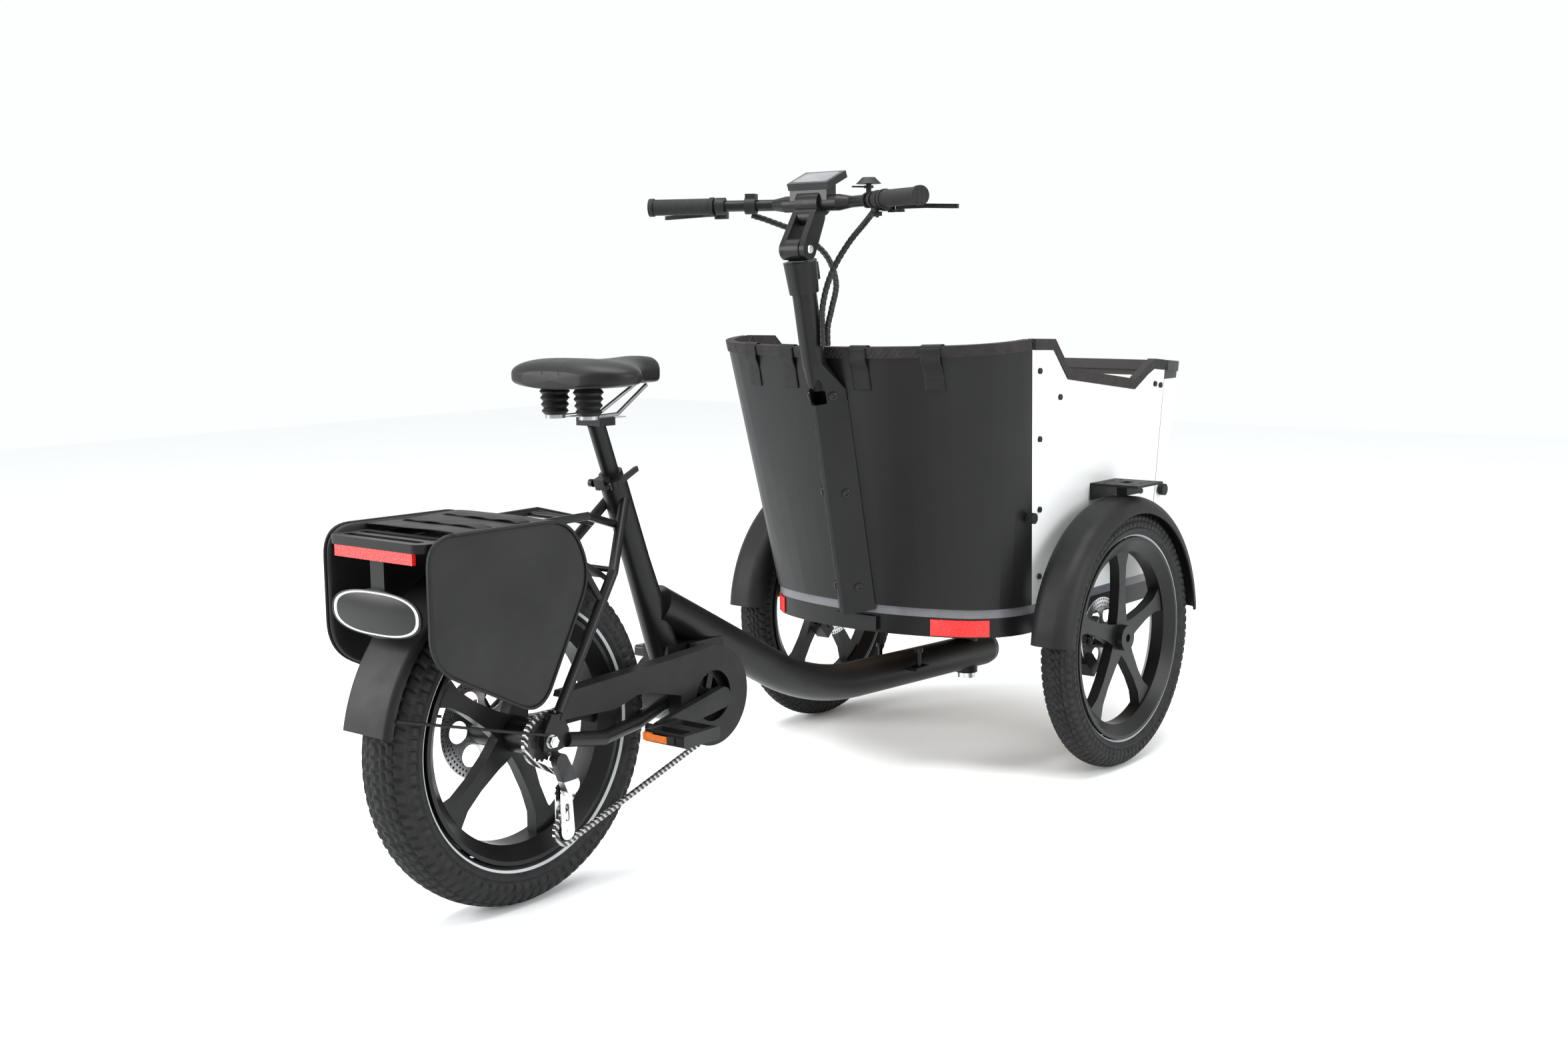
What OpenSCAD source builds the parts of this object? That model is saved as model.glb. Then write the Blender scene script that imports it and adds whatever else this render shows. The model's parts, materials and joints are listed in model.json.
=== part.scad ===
// Three-wheeled cargo bicycle: a rear half with saddle, mid-drive and fat rear wheel, and a steered
// front half that carries an open family box between two wheels on stub axles.
// Drawing frame: X forward, Y to the rider's left, Z up from the ground. All sizes in millimetres.

/* [Wheels] */
// Outer radius of the rear tyre
rear_tyre_r = 285; // [270:1:300]
// Width of the rear tyre
rear_tyre_w = 104; // [90:1:110]
// Outer radius of the front tyres
front_tyre_r = 273; // [260:1:285]
// Width of a front tyre
front_tyre_w = 74; // [60:1:80]
// Radius of the bead seat on every rim
bead_seat_r = 203; // [195:1:205]
// Distance from the rear axle to the front axle
wheelbase = 1345; // [1250:5:1500]
// Distance between the two front wheels' centre planes
track = 783; // [740:1:900]
// Radius of the front brake discs
front_disc_r = 80; // [70:1:90]
// Radius of the rear brake disc
rear_disc_r = 90; // [70:1:95]

/* [Frame] */
// Distance of the crank axle ahead of the rear axle
crank_x = 400; // [380:1:440]
// Height of the crank axle
crank_z = 285; // [275:1:300]
// Lean of the seat tube back from vertical, in degrees
seat_lean = 20.4; // [18:0.1:23]
// Length of the seat tube from the crank axle to its top
seat_tube_len = 418; // [380:1:480]
// Height of the saddle post's head above the crank axle, along the seat tube
post_reach = 530; // [500:1:600]
// Radius of the saddle post
post_r = 15.4; // [13:0.1:16]
// Radius of the main tube
main_tube_r = 37; // [30:0.5:40]
// Height of the main tube's centre at the steering pin
main_tube_z = 188; // [180:1:200]
// Distance of the steering pin ahead of the rear axle
kingpin_x = 1372; // [1350:1:1390]
// Radius of the steering pin
kingpin_r = 14; // [10:0.5:16]
// Half width of the rear frame at the dropouts
dropout_y = 91; // [88:1:96]
// Radius of the rear axle
rear_axle_r = 6; // [5:0.5:7]

/* [Drive] */
// Teeth on the chainring
ring_teeth = 38; // [34:1:40]
// Teeth on the sprocket that the chain runs on
cog_teeth = 20; // [16:1:24]
// Teeth on each derailleur pulley
pulley_teeth = 11; // [10:1:13]
// Distance of the chain's middle to the right of the frame's middle
chain_y = 76; // [74:0.5:78]
// Length of a crank arm between its centres
crank_len = 170; // [160:1:175]
// Dip of the right crank arm below the horizontal, in degrees
crank_dip = 8; // [0:1:20]

/* [Box] */
// Outer half width of the box at its foot
box_half_low = 307; // [290:1:320]
// Outer half width of the box at its rim
box_half_high = 360; // [340:1:370]
// Rear face of the box at its foot, ahead of the rear axle
box_rear_low = 960; // [950:1:990]
// Rear face of the box at its rim, ahead of the rear axle
box_rear_high = 847; // [830:1:880]
// Front face of the box, ahead of the rear axle
box_front = 1776; // [1740:1:1800]
// Height of the box's foot
box_foot_z = 345; // [340:1:360]
// Height at which the rim sizes hold
box_rim_z = 886; // [870:1:900]
// Thickness of the box's panels
panel_t = 12; // [9:1:15]
// Height of the rubber rim trim
trim_h = 22; // [15:1:28]

/* [Steering] */
// Radius of the mast's tube
mast_r = 24; // [20:1:27]
// Radius of the handlebar in its clamp
bar_clamp_r = 15.9; // [12:0.1:17]
// Radius of the handlebar where the grips sit
bar_r = 11.1; // [10:0.1:12]
// Half width of the handlebar
bar_half = 325; // [300:5:350]
// Length of a grip
grip_len = 130; // [110:1:140]

/* [Hidden] */
$fn = 48;

// Fits and gaps that are used more than once
run_gap = 0.05;     // radial clearance of a shaft that turns in its bore
seat_gap = 0.3;     // gap between a part and a curved face that it sits against
link_pitch = 12.7;  // pitch of the chain

// Rear fender, which sets the rear end of the whole bicycle
rear_fender_r = rear_tyre_r + 20;
rear_fender_w = 112;
rear_fender_low = 11;      // degrees above the axle's level at which the fender ends
rear_end = -rear_fender_r * cos(rear_fender_low);
trim_proud = 3;
shift_x = -(box_front + trim_proud + rear_end) / 2;

// Places worked out from the driving sizes
axle_z = rear_tyre_r;
front_axle_z = front_tyre_r;
wheel_y = track / 2;
function seat_at(s) = [crank_x - s * sin(seat_lean), 0, crank_z + s * cos(seat_lean)];
function pitch_r(teeth) = link_pitch / 2 / sin(180 / teeth);
ring_r = pitch_r(ring_teeth);
cog_r = pitch_r(cog_teeth);
pulley_r = pitch_r(pulley_teeth);
upper_pulley = [42, 190];
lower_pulley = [44, 122];
arm_y = 112;
pedal_y = 171;

module place() translate([shift_x, 0, 0]) children();
module both_sides() { children(); mirror([0, 1, 0]) children(); }
module across_y(h, r, r2 = -1) rotate([90, 0, 0]) cylinder(h = h, r1 = r, r2 = r2 < 0 ? r : r2,
    center = true);
// Straight round bar between two points
function aim(d) = [0, acos(d[2] / norm(d)), atan2(d[1], d[0])];
module rod(a, b, r) translate(a) rotate(aim(b - a)) cylinder(h = norm(b - a), r = r);
// Bent round bar through a list of points, with a slightly larger ball at each inner corner
module bent_rod(points, r) {
    for (i = [0:len(points) - 2]) rod(points[i], points[i + 1], r);
    for (i = [1:len(points) - 2]) translate(points[i]) rotate(aim(points[i] - points[i - 1]))
        rotate([0, 0, 50]) sphere(r + 0.15);
}
module rounded(w, d, r) hull() for (x = [-1, 1], y = [-1, 1]) translate([x * (w / 2 - r),
    y * (d / 2 - r)]) circle(r);

// ---- Wheels ----

// Half width between the rim's flanges, just clear of the tyre's side at the flange's height
flange_h = 9;
function flange_in(tyre_r, w) = let (round_r = (tyre_r - bead_seat_r) / 2)
    w / 2 - round_r + sqrt(pow(round_r, 2) - pow(round_r - flange_h, 2)) + 0.4;

// Cross-section of a tyre, radius along X and width along Y
module tyre_section(tyre_r, w) {
    round_r = (tyre_r - bead_seat_r) / 2;
    spread = w / 2 - round_r;
    wall = 6;
    bead_in = flange_in(tyre_r, w) - 12;
    module stadium(r) {
        for (s = [-1, 1]) translate([bead_seat_r + round_r, s * spread]) circle(r);
        translate([bead_seat_r + round_r - r, -spread]) square([2 * r, 2 * spread]);
    }
    difference() {
        union() {
            stadium(round_r);
            for (s = [-1, 1]) translate([bead_seat_r, s * (bead_in + 6) - 6]) square([12, 12]);
        }
        stadium(round_r - wall);
        translate([bead_seat_r - 1, -bead_in]) square([round_r, 2 * bead_in]);
    }
}
module tyre(tyre_r, w) rotate([90, 0, 0]) rotate_extrude($fn = 96) tyre_section(tyre_r, w);

// Cast wheel: rim with flanges outside the beads, a web cut into five tapering spokes, a bored hub, and
// the brake disc round the hub's inner end
disc_t = 2;
rim_in = bead_seat_r - 21;
spoke_t = 22;
spoke_edge = [[60, 17], [110, 13], [150, 15], [rim_in + 1.5, 28]];
function swing(p, a) = [p[0] * cos(a) - p[1] * sin(a), p[0] * sin(a) + p[1] * cos(a)];
function reversed(list) = [for (i = [len(list) - 1:-1:0]) list[i]];
module spoke_window() polygon(concat([swing([38, 0], 36)], spoke_edge,
    [for (a = [12:8:60]) swing([rim_in + 1.5, 0], a)], [for (p = reversed(spoke_edge)) swing([p[0],
        -p[1]], 72)]));
module cast_wheel(half, bore, hub_in, hub_out, hub_r, first_spoke, disc_r) {
    hole_r = (disc_r - 22 - hub_r) / 2;
    rotate([90, 0, 0]) difference() {
        union() {
            rotate_extrude($fn = 96) polygon([[bead_seat_r + flange_h, half + 5],
                [bead_seat_r + flange_h, half],
                [bead_seat_r, half], [bead_seat_r, -half], [bead_seat_r + flange_h, -half],
                [bead_seat_r + flange_h, -half - 5],
                [bead_seat_r + 2, -half - 5], [rim_in, -half * 0.55], [rim_in, half * 0.55],
                [bead_seat_r + 2, half + 5]]);
            linear_extrude(spoke_t, center = true) difference() {
                circle(rim_in + 3, $fn = 96);
                for (k = [0:4]) rotate(first_spoke + 72 * k) spoke_window();
            }
            translate([0, 0, -hub_in]) cylinder(h = hub_in + hub_out, r = hub_r);
            translate([0, 0, -hub_in - disc_t / 2]) difference() {
                cylinder(h = disc_t, r = disc_r, $fn = 72);
                for (k = [0:5]) rotate([0, 0, 60 * k]) translate([hub_r + hole_r + 3, 0, -1])
                    cylinder(h = disc_t + 2, r = hole_r);
            }
        }
        translate([0, 0, -hub_in - 5]) cylinder(h = hub_in + hub_out + 10, r = bore);
    }
}

rear_disc_y = 72;
module rear_tyre() color("dimgray") translate([0, 0, axle_z]) tyre(rear_tyre_r, rear_tyre_w);
module rear_rim() color("black") translate([0, 0, axle_z])
    cast_wheel(flange_in(rear_tyre_r, rear_tyre_w), rear_axle_r + run_gap, rear_disc_y, 58, 30, 3,
        rear_disc_r);

stub_r = 8.5;
front_hub_in = 40;     // from the wheel's centre plane to the disc's inner face
front_hub_out = 26;
module front_tyre() translate([wheelbase, -wheel_y, front_axle_z]) tyre(front_tyre_r, front_tyre_w);
module front_rim() translate([wheelbase, -wheel_y, front_axle_z])
    cast_wheel(flange_in(front_tyre_r, front_tyre_w), stub_r + run_gap, front_hub_in - disc_t / 2,
        front_hub_out, 27, 90, front_disc_r);
module front_tyre_left() color("dimgray") mirror([0, 1, 0]) front_tyre();
module front_tyre_right() color("dimgray") front_tyre();
module front_rim_left() color("black") mirror([0, 1, 0]) front_rim();
module front_rim_right() color("black") front_rim();

// ---- Rear frame ----

seat_foot = 75;       // where the seat tube starts above the crank axle
seat_wide_r = 29;
seat_slim_r = 24;
module seat_tube_body(extra = 0) translate([crank_x, 0, crank_z]) rotate([0, -seat_lean, 0]) {
    translate([0, 0, seat_foot]) cylinder(h = 190, r1 = seat_wide_r + extra, r2 = seat_slim_r + extra);
    translate([0, 0, seat_foot + 190]) cylinder(h = seat_tube_len - seat_foot - 190,
        r = seat_slim_r + extra);
}
collar_h = 20;
post_foot = 250;      // lower end of the saddle post above the crank axle
lever_y = 29;         // centre of the clamp lever's barrel, out from the middle
lever_barrel_r = 7;
skewer_back = 26;     // the clamp bolt passes this far behind the saddle post's centre
module seat_tube() color("black") {
    difference() {
        seat_tube_body();
        translate([crank_x, 0, crank_z]) rotate([0, -seat_lean, 0]) translate([0, 0, post_foot - 110])
            cylinder(h = seat_tube_len, r = post_r + run_gap);
    }
    // Clamp collar with two ears and its bolt
    translate([crank_x, 0, crank_z]) rotate([0, -seat_lean, 0]) translate([0, 0,
        seat_tube_len]) difference() {
        union() {
            cylinder(h = collar_h, r = seat_slim_r - 3);
            translate([-skewer_back - 7, -12, 0]) cube([20, 24, collar_h]);
            translate([-skewer_back, 0, collar_h / 2]) across_y(2 * (lever_y - lever_barrel_r - seat_gap), 3);
            translate([-skewer_back, 24, collar_h / 2]) across_y(8, 7);
        }
        translate([0, 0, -1]) cylinder(h = collar_h + 2, r = post_r + run_gap);
        translate([-skewer_back - 8, -2, -1]) cube([19, 4, 4]);
    }
}

// Main tube: straight from the seat tube, one long bend, straight to its rounded front end
bend_start = [670, 278];
bend_angle = 28.2;
tail_angle = 2;
bend_r = (bend_start[1] - main_tube_z - (kingpin_x - bend_start[0]) * tan(tail_angle))
    / (cos(tail_angle) - cos(bend_angle) - (sin(bend_angle) - sin(tail_angle)) * tan(tail_angle));
bend_centre = [bend_start[0] + bend_r * sin(bend_angle), bend_start[1] + bend_r * cos(bend_angle)];
bend_end = [bend_centre[0] - bend_r * sin(tail_angle), bend_centre[1] - bend_r * cos(tail_angle)];
main_back_len = 360;
tube_nose_x = kingpin_x + 66;
nose_len = 34;
head_r = 25;
head_low = main_tube_z - 44;
head_high = 262;
head_bearing_r = 21;
head_bearing_h = 12;
module main_tube_body(extra = 0) {
    r = main_tube_r + extra;
    translate([bend_start[0], 0, bend_start[1]]) rotate([0, -90 + bend_angle, 0]) translate([0, 0, -2])
        cylinder(h = main_back_len + 2, r = r);
    translate([bend_centre[0], 0, bend_centre[1]]) rotate([90, 0, 0]) rotate([0, 0, -90 - bend_angle])
        rotate_extrude(angle = bend_angle - tail_angle, $fn = 96) translate([bend_r,
            0]) circle(r - 0.1, $fn = 48);
    nose_z = bend_end[1] - (tube_nose_x - bend_end[0]) * tan(tail_angle);
    translate([bend_end[0], 0, bend_end[1]]) rotate([0, 90 + tail_angle, 0]) translate([0, 0, -2])
        cylinder(h = (tube_nose_x - bend_end[0]) / cos(tail_angle) + 2, r = r);
    translate([tube_nose_x, 0, nose_z]) rotate([0, 90 + tail_angle, 0]) {
        cylinder(h = nose_len / 2, r1 = r - 0.1, r2 = r * 0.92);
        translate([0, 0, nose_len / 2]) cylinder(h = nose_len / 2, r1 = r * 0.92 - 0.1, r2 = r * 0.62);
    }
}
module main_tube() color("black") {
    difference() {
        union() {
            main_tube_body();
            translate([kingpin_x, 0, head_low]) cylinder(h = head_high - head_low, r = head_r);
            // Stop bracket under the box
            translate([1085, -62, main_tube_z + 14]) cube([50, 124, 6]);
        }
        seat_tube_body(0.05);
        translate([kingpin_x, 0, head_low - 1]) cylinder(h = head_high - head_low + 2, r = head_bearing_r);
        translate([kingpin_x, 0, head_low + head_bearing_h]) cylinder(h = 20, r = head_bearing_r);
    }
    // Upper and lower pivot bearings
    for (z = [head_low, head_high - head_bearing_h]) translate([kingpin_x, 0, z]) difference() {
        cylinder(h = head_bearing_h, r = head_bearing_r - 0.1);
        translate([0, 0, -1]) cylinder(h = head_bearing_h + 2, r = kingpin_r + run_gap);
    }
    // Stop bolts with rubber heads on the bracket
    both_sides() translate([1110, 50, main_tube_z + 20]) {
        cylinder(h = 30, r = 5);
        translate([0, 0, 30]) cylinder(h = 9, r = 9);
    }
}

stay_r = 12.5;
dropout_t = 6;
module dropout_plate() translate([0, dropout_y + dropout_t / 2, axle_z]) rotate([90, 0, 0])
    linear_extrude(dropout_t) difference() {
        polygon([[-16, -14], [10, -20], [42, -14], [42, 14], [26, 42], [4, 42], [-14, 14]]);
        circle(rear_axle_r);
    }
chain_stay_line = [[36, dropout_y + 0.5, 280], [130, 84, 262], [230, 70, 268], [345, 48, 288]];
module chain_stays() color("black") both_sides() difference() {
    union() {
        dropout_plate();
        bent_rod(chain_stay_line, stay_r);
    }
    motor_body(seat_gap);
}
stay_slim_r = 9;
stay_low = [18, dropout_y + 4, axle_z + 44];
stay_mid = [175, 72, 537];
seat_stay_line = [stay_low, stay_mid, [262, 18, 648]];
module seat_stays() color("black") {
    both_sides() difference() {
        bent_rod(seat_stay_line, stay_slim_r);
        seat_tube_body();
        dropout_plate();
        translate([0, -200, axle_z - 10]) cube([60, 400, 52]);
    }
    // Bridge that carries the fender
    rod([stay_mid[0] + 3, -stay_mid[1] + 7, stay_mid[2] + 3], [stay_mid[0] + 3, stay_mid[1] - 7,
        stay_mid[2] + 3], 5);
}

motor_r = 62;
motor_half = 58;
module motor_body(extra = 0) translate([crank_x + 8, 0, crank_z])
    across_y(2 * (motor_half + extra), motor_r + extra);
module motor_unit() color([0.1, 0.1, 0.1]) difference() {
    union() {
        motor_body();
        translate([crank_x + 2, -38, crank_z + 10]) cube([92, 76, 88]);
        translate([crank_x - 48, -30, crank_z + 30]) cube([60, 60, 60]);
    }
    seat_tube_body(seat_gap);
    main_tube_body(seat_gap);
    translate([crank_x, 0, crank_z]) across_y(200, 12 + run_gap);
    translate([crank_x - 60, -100, crank_z + 88]) cube([200, 200, 80]);
}

// Chain case: outer plate and rim around the chainring and the chain's upper run
case_out = 95;
case_in = 64;
case_wall = 3;
case_r = 90;
case_eye_r = 46;
module case_outline(inset = 0) {
    translate([crank_x + 3, crank_z - 1]) circle(case_r - inset, $fn = 72);
    polygon([[22 + inset, axle_z + 30 + inset], [40 + inset, axle_z + 74 - inset],
        [crank_x + 3, crank_z + case_r - 1 - inset], [crank_x - 60, crank_z + 10 + inset],
        [235, axle_z + 36 + inset], [205, axle_z + 38 + inset], [150, axle_z + 24 + inset]]);
}
module case_shell() translate([0, -case_in, 0]) rotate([90, 0, 0]) difference() {
    linear_extrude(case_out - case_in) case_outline();
    translate([0, 0, -1]) linear_extrude(case_out - case_in + 1 - case_wall) case_outline(case_wall);
    translate([crank_x, crank_z, 0]) cylinder(h = 60, r = case_eye_r);
    // Mouths for the chain's lower run and for its rear end
    translate([crank_x - 120, crank_z - 130, -1]) cube([120, 74, case_out - case_in + 1 - case_wall]);
    translate([0, axle_z + 20, -1]) cube([60, 44, case_out - case_in + 1 - case_wall]);
}
module chain_case() color([0.08, 0.08, 0.08]) difference() {
    union() {
        case_shell();
        // Bracket that reaches over the motor's face
        translate([crank_x, 0, crank_z]) rotate([0, -65, 0]) translate([46, -case_in - 2, -9])
            cube([case_r - 47, case_in + 2 - motor_half - seat_gap, 18]);
    }
    // Notches round the two stays
    mirror([0, 1, 0]) {
        rod(chain_stay_line[0], chain_stay_line[1], stay_r + seat_gap);
        rod(chain_stay_line[1], chain_stay_line[2], stay_r + seat_gap);
        rod(chain_stay_line[2], chain_stay_line[3], stay_r + seat_gap);
        dropout_plate();
        rod(stay_low, stay_mid, stay_slim_r + seat_gap);
    }
}

module rear_axle() color("silver") {
    translate([0, 0, axle_z]) across_y(2 * (dropout_y + 14), rear_axle_r);
    both_sides() translate([0, dropout_y + dropout_t / 2 + 1, axle_z]) {
        difference() {
            across_y(2, 11);
            across_y(4, rear_axle_r);
        }
        translate([0, 5, 0]) difference() {
            rotate([90, 0, 0]) cylinder(h = 8, r = 10, center = true, $fn = 6);
            across_y(10, rear_axle_r);
        }
    }
    // Spacers between the wheel and the dropouts
    for (span = [[rear_disc_y + 1.3, dropout_y - 3], [-dropout_y + 3, -87.3]])
        translate([0, (span[0] + span[1]) / 2, axle_z]) difference() {
            across_y(span[1] - span[0], 10);
            across_y(40, rear_axle_r);
        }
}

// ---- Rack, fender and bags ----

rack_z = 632;
rack_r = 7;
tail_x = -268;
tail_depth = 74;
tail_half = 112;
plate_in = 8.3;       // the plate's strip hangs this far ahead of the handle's rear edge
module rack() color("black") {
    difference() {
        union() {
            both_sides() bent_rod([[tail_x + 60, 60, rack_z], [130, 60, rack_z + 4], [228.8, 27.8, 608.2]],
                rack_r);
            for (x = [-120, 0, 110]) rod([x, -60, rack_z + 1], [x, 60, rack_z + 1], 5);
            // Flat tail handle with two finger slots
            translate([tail_x + tail_depth / 2, 0, rack_z - 7]) linear_extrude(14) difference() {
                rounded(tail_depth, 2 * tail_half, 22);
                for (x = [-14, 16]) translate([x, 0]) rounded(16, 2 * tail_half - 44, 7);
            }
            // Strip that carries the plate
            translate([tail_x + plate_in, -16, 500]) cube([3, 32, 130]);
        }
        // The side rods are coped on the seat stays
        both_sides() rod(stay_mid, seat_stay_line[2], stay_slim_r);
    }
    both_sides() difference() {
        rod([60, 62, rack_z], [141, 77, 492], 6);
        rod([0, 60, rack_z + 2.6], [130, 60, rack_z + 4], rack_r + 0.2);
        rod(stay_low, stay_mid, stay_slim_r + 0.2);
    }
    // Oval plate with two screws
    translate([tail_x + plate_in, 0, 525]) rotate([0, -90, 0]) linear_extrude(4) difference() {
        intersection_for(s = [-1, 1]) translate([s * 92, 0]) circle(130, $fn = 96);
        for (s = [-1, 1]) translate([0, s * 78]) circle(2.5);
    }
}
module tail_reflector() color("red") translate([tail_x + 1, -92, rack_z - 25]) cube([plate_in - 1.3,
    184, 17.7]);

module fender_section(r, w, wall, round_r) difference() {
    union() {
        for (s = [-1, 1]) translate([r - round_r, s * (w / 2 - round_r)]) circle(round_r);
        translate([r - 2 * round_r, -w / 2 + round_r]) square([2 * round_r, w - 2 * round_r]);
    }
    for (s = [-1, 1]) translate([r - round_r, s * (w / 2 - round_r)]) circle(round_r - wall);
    translate([r - 2 * round_r + wall, -w / 2 + round_r]) square([2 * round_r - 2 * wall, w - 2 * round_r]);
    translate([r - 2 * round_r - 1, -w / 2 - 1]) square([round_r + 1, w + 2]);
}
module rear_fender() color([0.07, 0.07, 0.07]) {
    translate([0, 0, axle_z]) rotate([90, 0, 0]) rotate([0, 0, 52])
        rotate_extrude(angle = 180 - rear_fender_low - 52, $fn = 96)
        fender_section(rear_fender_r, rear_fender_w, 4, 12);
    // Wire stays to the dropouts
    both_sides() rod([-8, dropout_y + 5.8, axle_z + 12], [-281, rear_fender_w / 2 + 2.8, axle_z + 84], 2.5);
}

bag_t = 10;
bag_y = 114;
bag_top_z = rack_z + 9.6;
module pannier_side() translate([0, bag_y + bag_t, 0]) rotate([90, 0, 0]) linear_extrude(bag_t)
    hull() {
        translate([-222, 470]) circle(42);
        translate([-62, 385]) circle(36);
        translate([28, 552]) circle(40);
        translate([-10, bag_top_z - 40]) circle(40);
        translate([-262, bag_top_z - 2]) square([2, 2]);
    }
module panniers() color([0.12, 0.12, 0.12]) {
    both_sides() pannier_side();
    translate([-190, -bag_y - bag_t, bag_top_z + 0.3]) cube([200, 2 * (bag_y + bag_t), bag_t]);
}

// ---- Drive ----

// The chain's loop: pulleys as [x, z, radius, turning sense], clockwise 1 or counter-clockwise -1
loop = [[crank_x, crank_z, ring_r, 1], [lower_pulley[0], lower_pulley[1], pulley_r, 1],
    [upper_pulley[0], upper_pulley[1], pulley_r, -1], [0, axle_z, cog_r, 1]];
function heading(a, b) = atan2(b[1] - a[1], b[0] - a[0])
    + asin((b[2] * b[3] - a[2] * a[3]) / norm([b[0] - a[0], b[1] - a[1]]));
function turn(a, b, sense) = sense > 0 ? a - ((a - b) % 360 + 360) % 360 : a + ((b - a) % 360 + 360) % 360;
function wrap(i, off) = let (p = loop[i], h0 = heading(loop[(i + 3) % 4], p), h1 = heading(p,
    loop[(i + 1) % 4]),
    end = turn(h0, h1, p[3]), n = max(2, ceil(abs(end - h0) / 8)), r = p[2] * p[3] + off)
    [for (k = [0:n]) let (a = h0 + (end - h0) * k / n + 90) [p[0] + r * cos(a), p[1] + r * sin(a)]];
function chain_loop(off) = [for (i = [0:3]) each wrap(i, off)];
plate_half = 4;
module chain() color("silver") translate([0, -chain_y + 3.5, 0]) rotate([90, 0,
    0]) linear_extrude(7) difference() {
    polygon(chain_loop(plate_half));
    polygon(chain_loop(-plate_half));
}
// Toothed plate whose tips stay just inside the chain
module sprocket(teeth, thick) {
    tip = pitch_r(teeth) - plate_half - 0.4;
    root = tip - 3.5;
    rotate([90, 0, 0]) linear_extrude(thick, center = true) polygon([for (k = [0:teeth - 1], s = [0:3])
        let (a = (k + [0, 0.3, 0.5, 0.8][s]) * 360 / teeth, r = [root, root, tip, tip][s]) [r * cos(a),
            r * sin(a)]]);
}
module cassette() color("gray") translate([0, 0, axle_z]) difference() {
    union() {
        translate([0, -chain_y, 0]) sprocket(cog_teeth, 2);
        translate([0, -chain_y + 3, 0]) across_y(20, 18);
    }
    translate([0, -chain_y, 0]) across_y(60, rear_axle_r + run_gap);
}
module crank_arm() {
    hull() {
        across_y(14, 19);
        translate([-crank_len, -6, 0]) across_y(12, 13);
    }
}
arm_angle = crank_dip;
module crankset() color([0.08, 0.08, 0.08]) translate([crank_x, 0, crank_z]) {
    across_y(2 * arm_y - 14, 12);
    rotate([0, -arm_angle, 0]) difference() {
        translate([0, -arm_y, 0]) crank_arm();
        translate([-crank_len, -arm_y, 0]) across_y(60, 7);
    }
    rotate([0, 180 - arm_angle, 0]) mirror([0, 1, 0]) difference() {
        translate([0, -arm_y, 0]) crank_arm();
        translate([-crank_len, -arm_y, 0]) across_y(60, 7);
    }
    // Chainring and its spider
    translate([0, -chain_y, 0]) difference() {
        sprocket(ring_teeth, 2.5);
        across_y(10, 34);
    }
    for (k = [0:4]) rotate([0, 72 * k, 0]) translate([0, -chain_y, 0]) difference() {
        translate([8, -3, -7]) cube([34, 8, 14]);
        across_y(20, 12);
    }
}
// Platform pedal with its spindle threaded into the crank arm's end
module pedal() {
    difference() {
        rotate([90, 0, 0]) linear_extrude(90, center = true) rounded(92, 22, 6);
        for (x = [-26, 26]) translate([x, 0, 0]) cube([26, 66, 40], center = true);
    }
    translate([0, (pedal_y - arm_y - 6) / 2 + 18, 0]) across_y(pedal_y - arm_y + 14, 6.95);
    for (x = [-47.5, 47.5]) translate([x, 0, 0]) cube([3, 50, 14], center = true);
}
module pedal_right() color("black") translate([crank_x, 0, crank_z]) rotate([0, -arm_angle, 0])
    translate([-crank_len, -pedal_y, 0]) rotate([0, arm_angle, 0]) pedal();
module pedal_left() color("black") translate([crank_x, 0, crank_z]) rotate([0, -arm_angle, 0])
    translate([crank_len, pedal_y, 0]) rotate([0, arm_angle, 0]) mirror([0, 1, 0]) pedal();

pulley_pin_r = 2.5;
module pulley(at) translate([at[0], -chain_y, at[1]]) difference() {
    sprocket(pulley_teeth, 4);
    across_y(10, pulley_pin_r + run_gap);
}
module pulley_upper() color("dimgray") pulley(upper_pulley);
module pulley_lower() color("dimgray") pulley(lower_pulley);
cage_t = 2;
cage_half = 5.5;
module derailleur() color("silver") {
    // Cage plates either side of the pulleys, with the pulley pins
    for (y = [-chain_y - cage_half - cage_t / 2, -chain_y + cage_half + cage_t / 2]) translate([0, y, 0])
        rotate([90, 0, 0]) linear_extrude(cage_t, center = true) difference() {
            hull() {
                translate(upper_pulley) circle(12);
                translate(lower_pulley) circle(15);
            }
            translate((upper_pulley + lower_pulley) / 2 + [0, -2]) rounded(9, 30, 4);
            for (p = [upper_pulley, lower_pulley]) translate(p) circle(pulley_pin_r);
        }
    for (p = [upper_pulley, lower_pulley]) translate([p[0], -chain_y,
        p[1]]) across_y(2 * cage_half + 2 * cage_t + 2, pulley_pin_r);
    // Parallelogram body from the hanger bolt down to the cage pivot
    difference() {
        hull() {
            translate([12, -dropout_y - 10, axle_z - 34]) across_y(14, 13);
            translate([40, -chain_y - 18, upper_pulley[1] + 14]) across_y(16, 15);
        }
        dropout_mirror();
    }
    translate([12, -dropout_y - 3.3, axle_z - 34]) across_y(28, 4);
    // Hanger tab just under the dropout's lower edge
    translate([12, -dropout_y, axle_z - 31.65]) cube([12, 5.8, 22.7], center = true);
    translate([upper_pulley[0], -chain_y - 9.5, upper_pulley[1]]) across_y(3, 8);
}
module dropout_mirror() mirror([0, 1, 0]) dropout_plate();

module caliper(disc_t) difference() {
    cube([44, 34, 30], center = true);
    translate([0, 0, -6]) cube([60, disc_t + 2, 30], center = true);
}
module rear_caliper() color([0.1, 0.1, 0.1]) translate([0, 0, axle_z]) rotate([0, 60, 0])
    translate([0, rear_disc_y, 0]) {
        translate([0, 0, rear_disc_r - 4]) caliper(2);
        translate([-6, 10, 30]) cube([12, dropout_y - dropout_t / 2 - seat_gap - rear_disc_y - 10,
            rear_disc_r - 36]);
    }

// ---- Saddle ----

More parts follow.
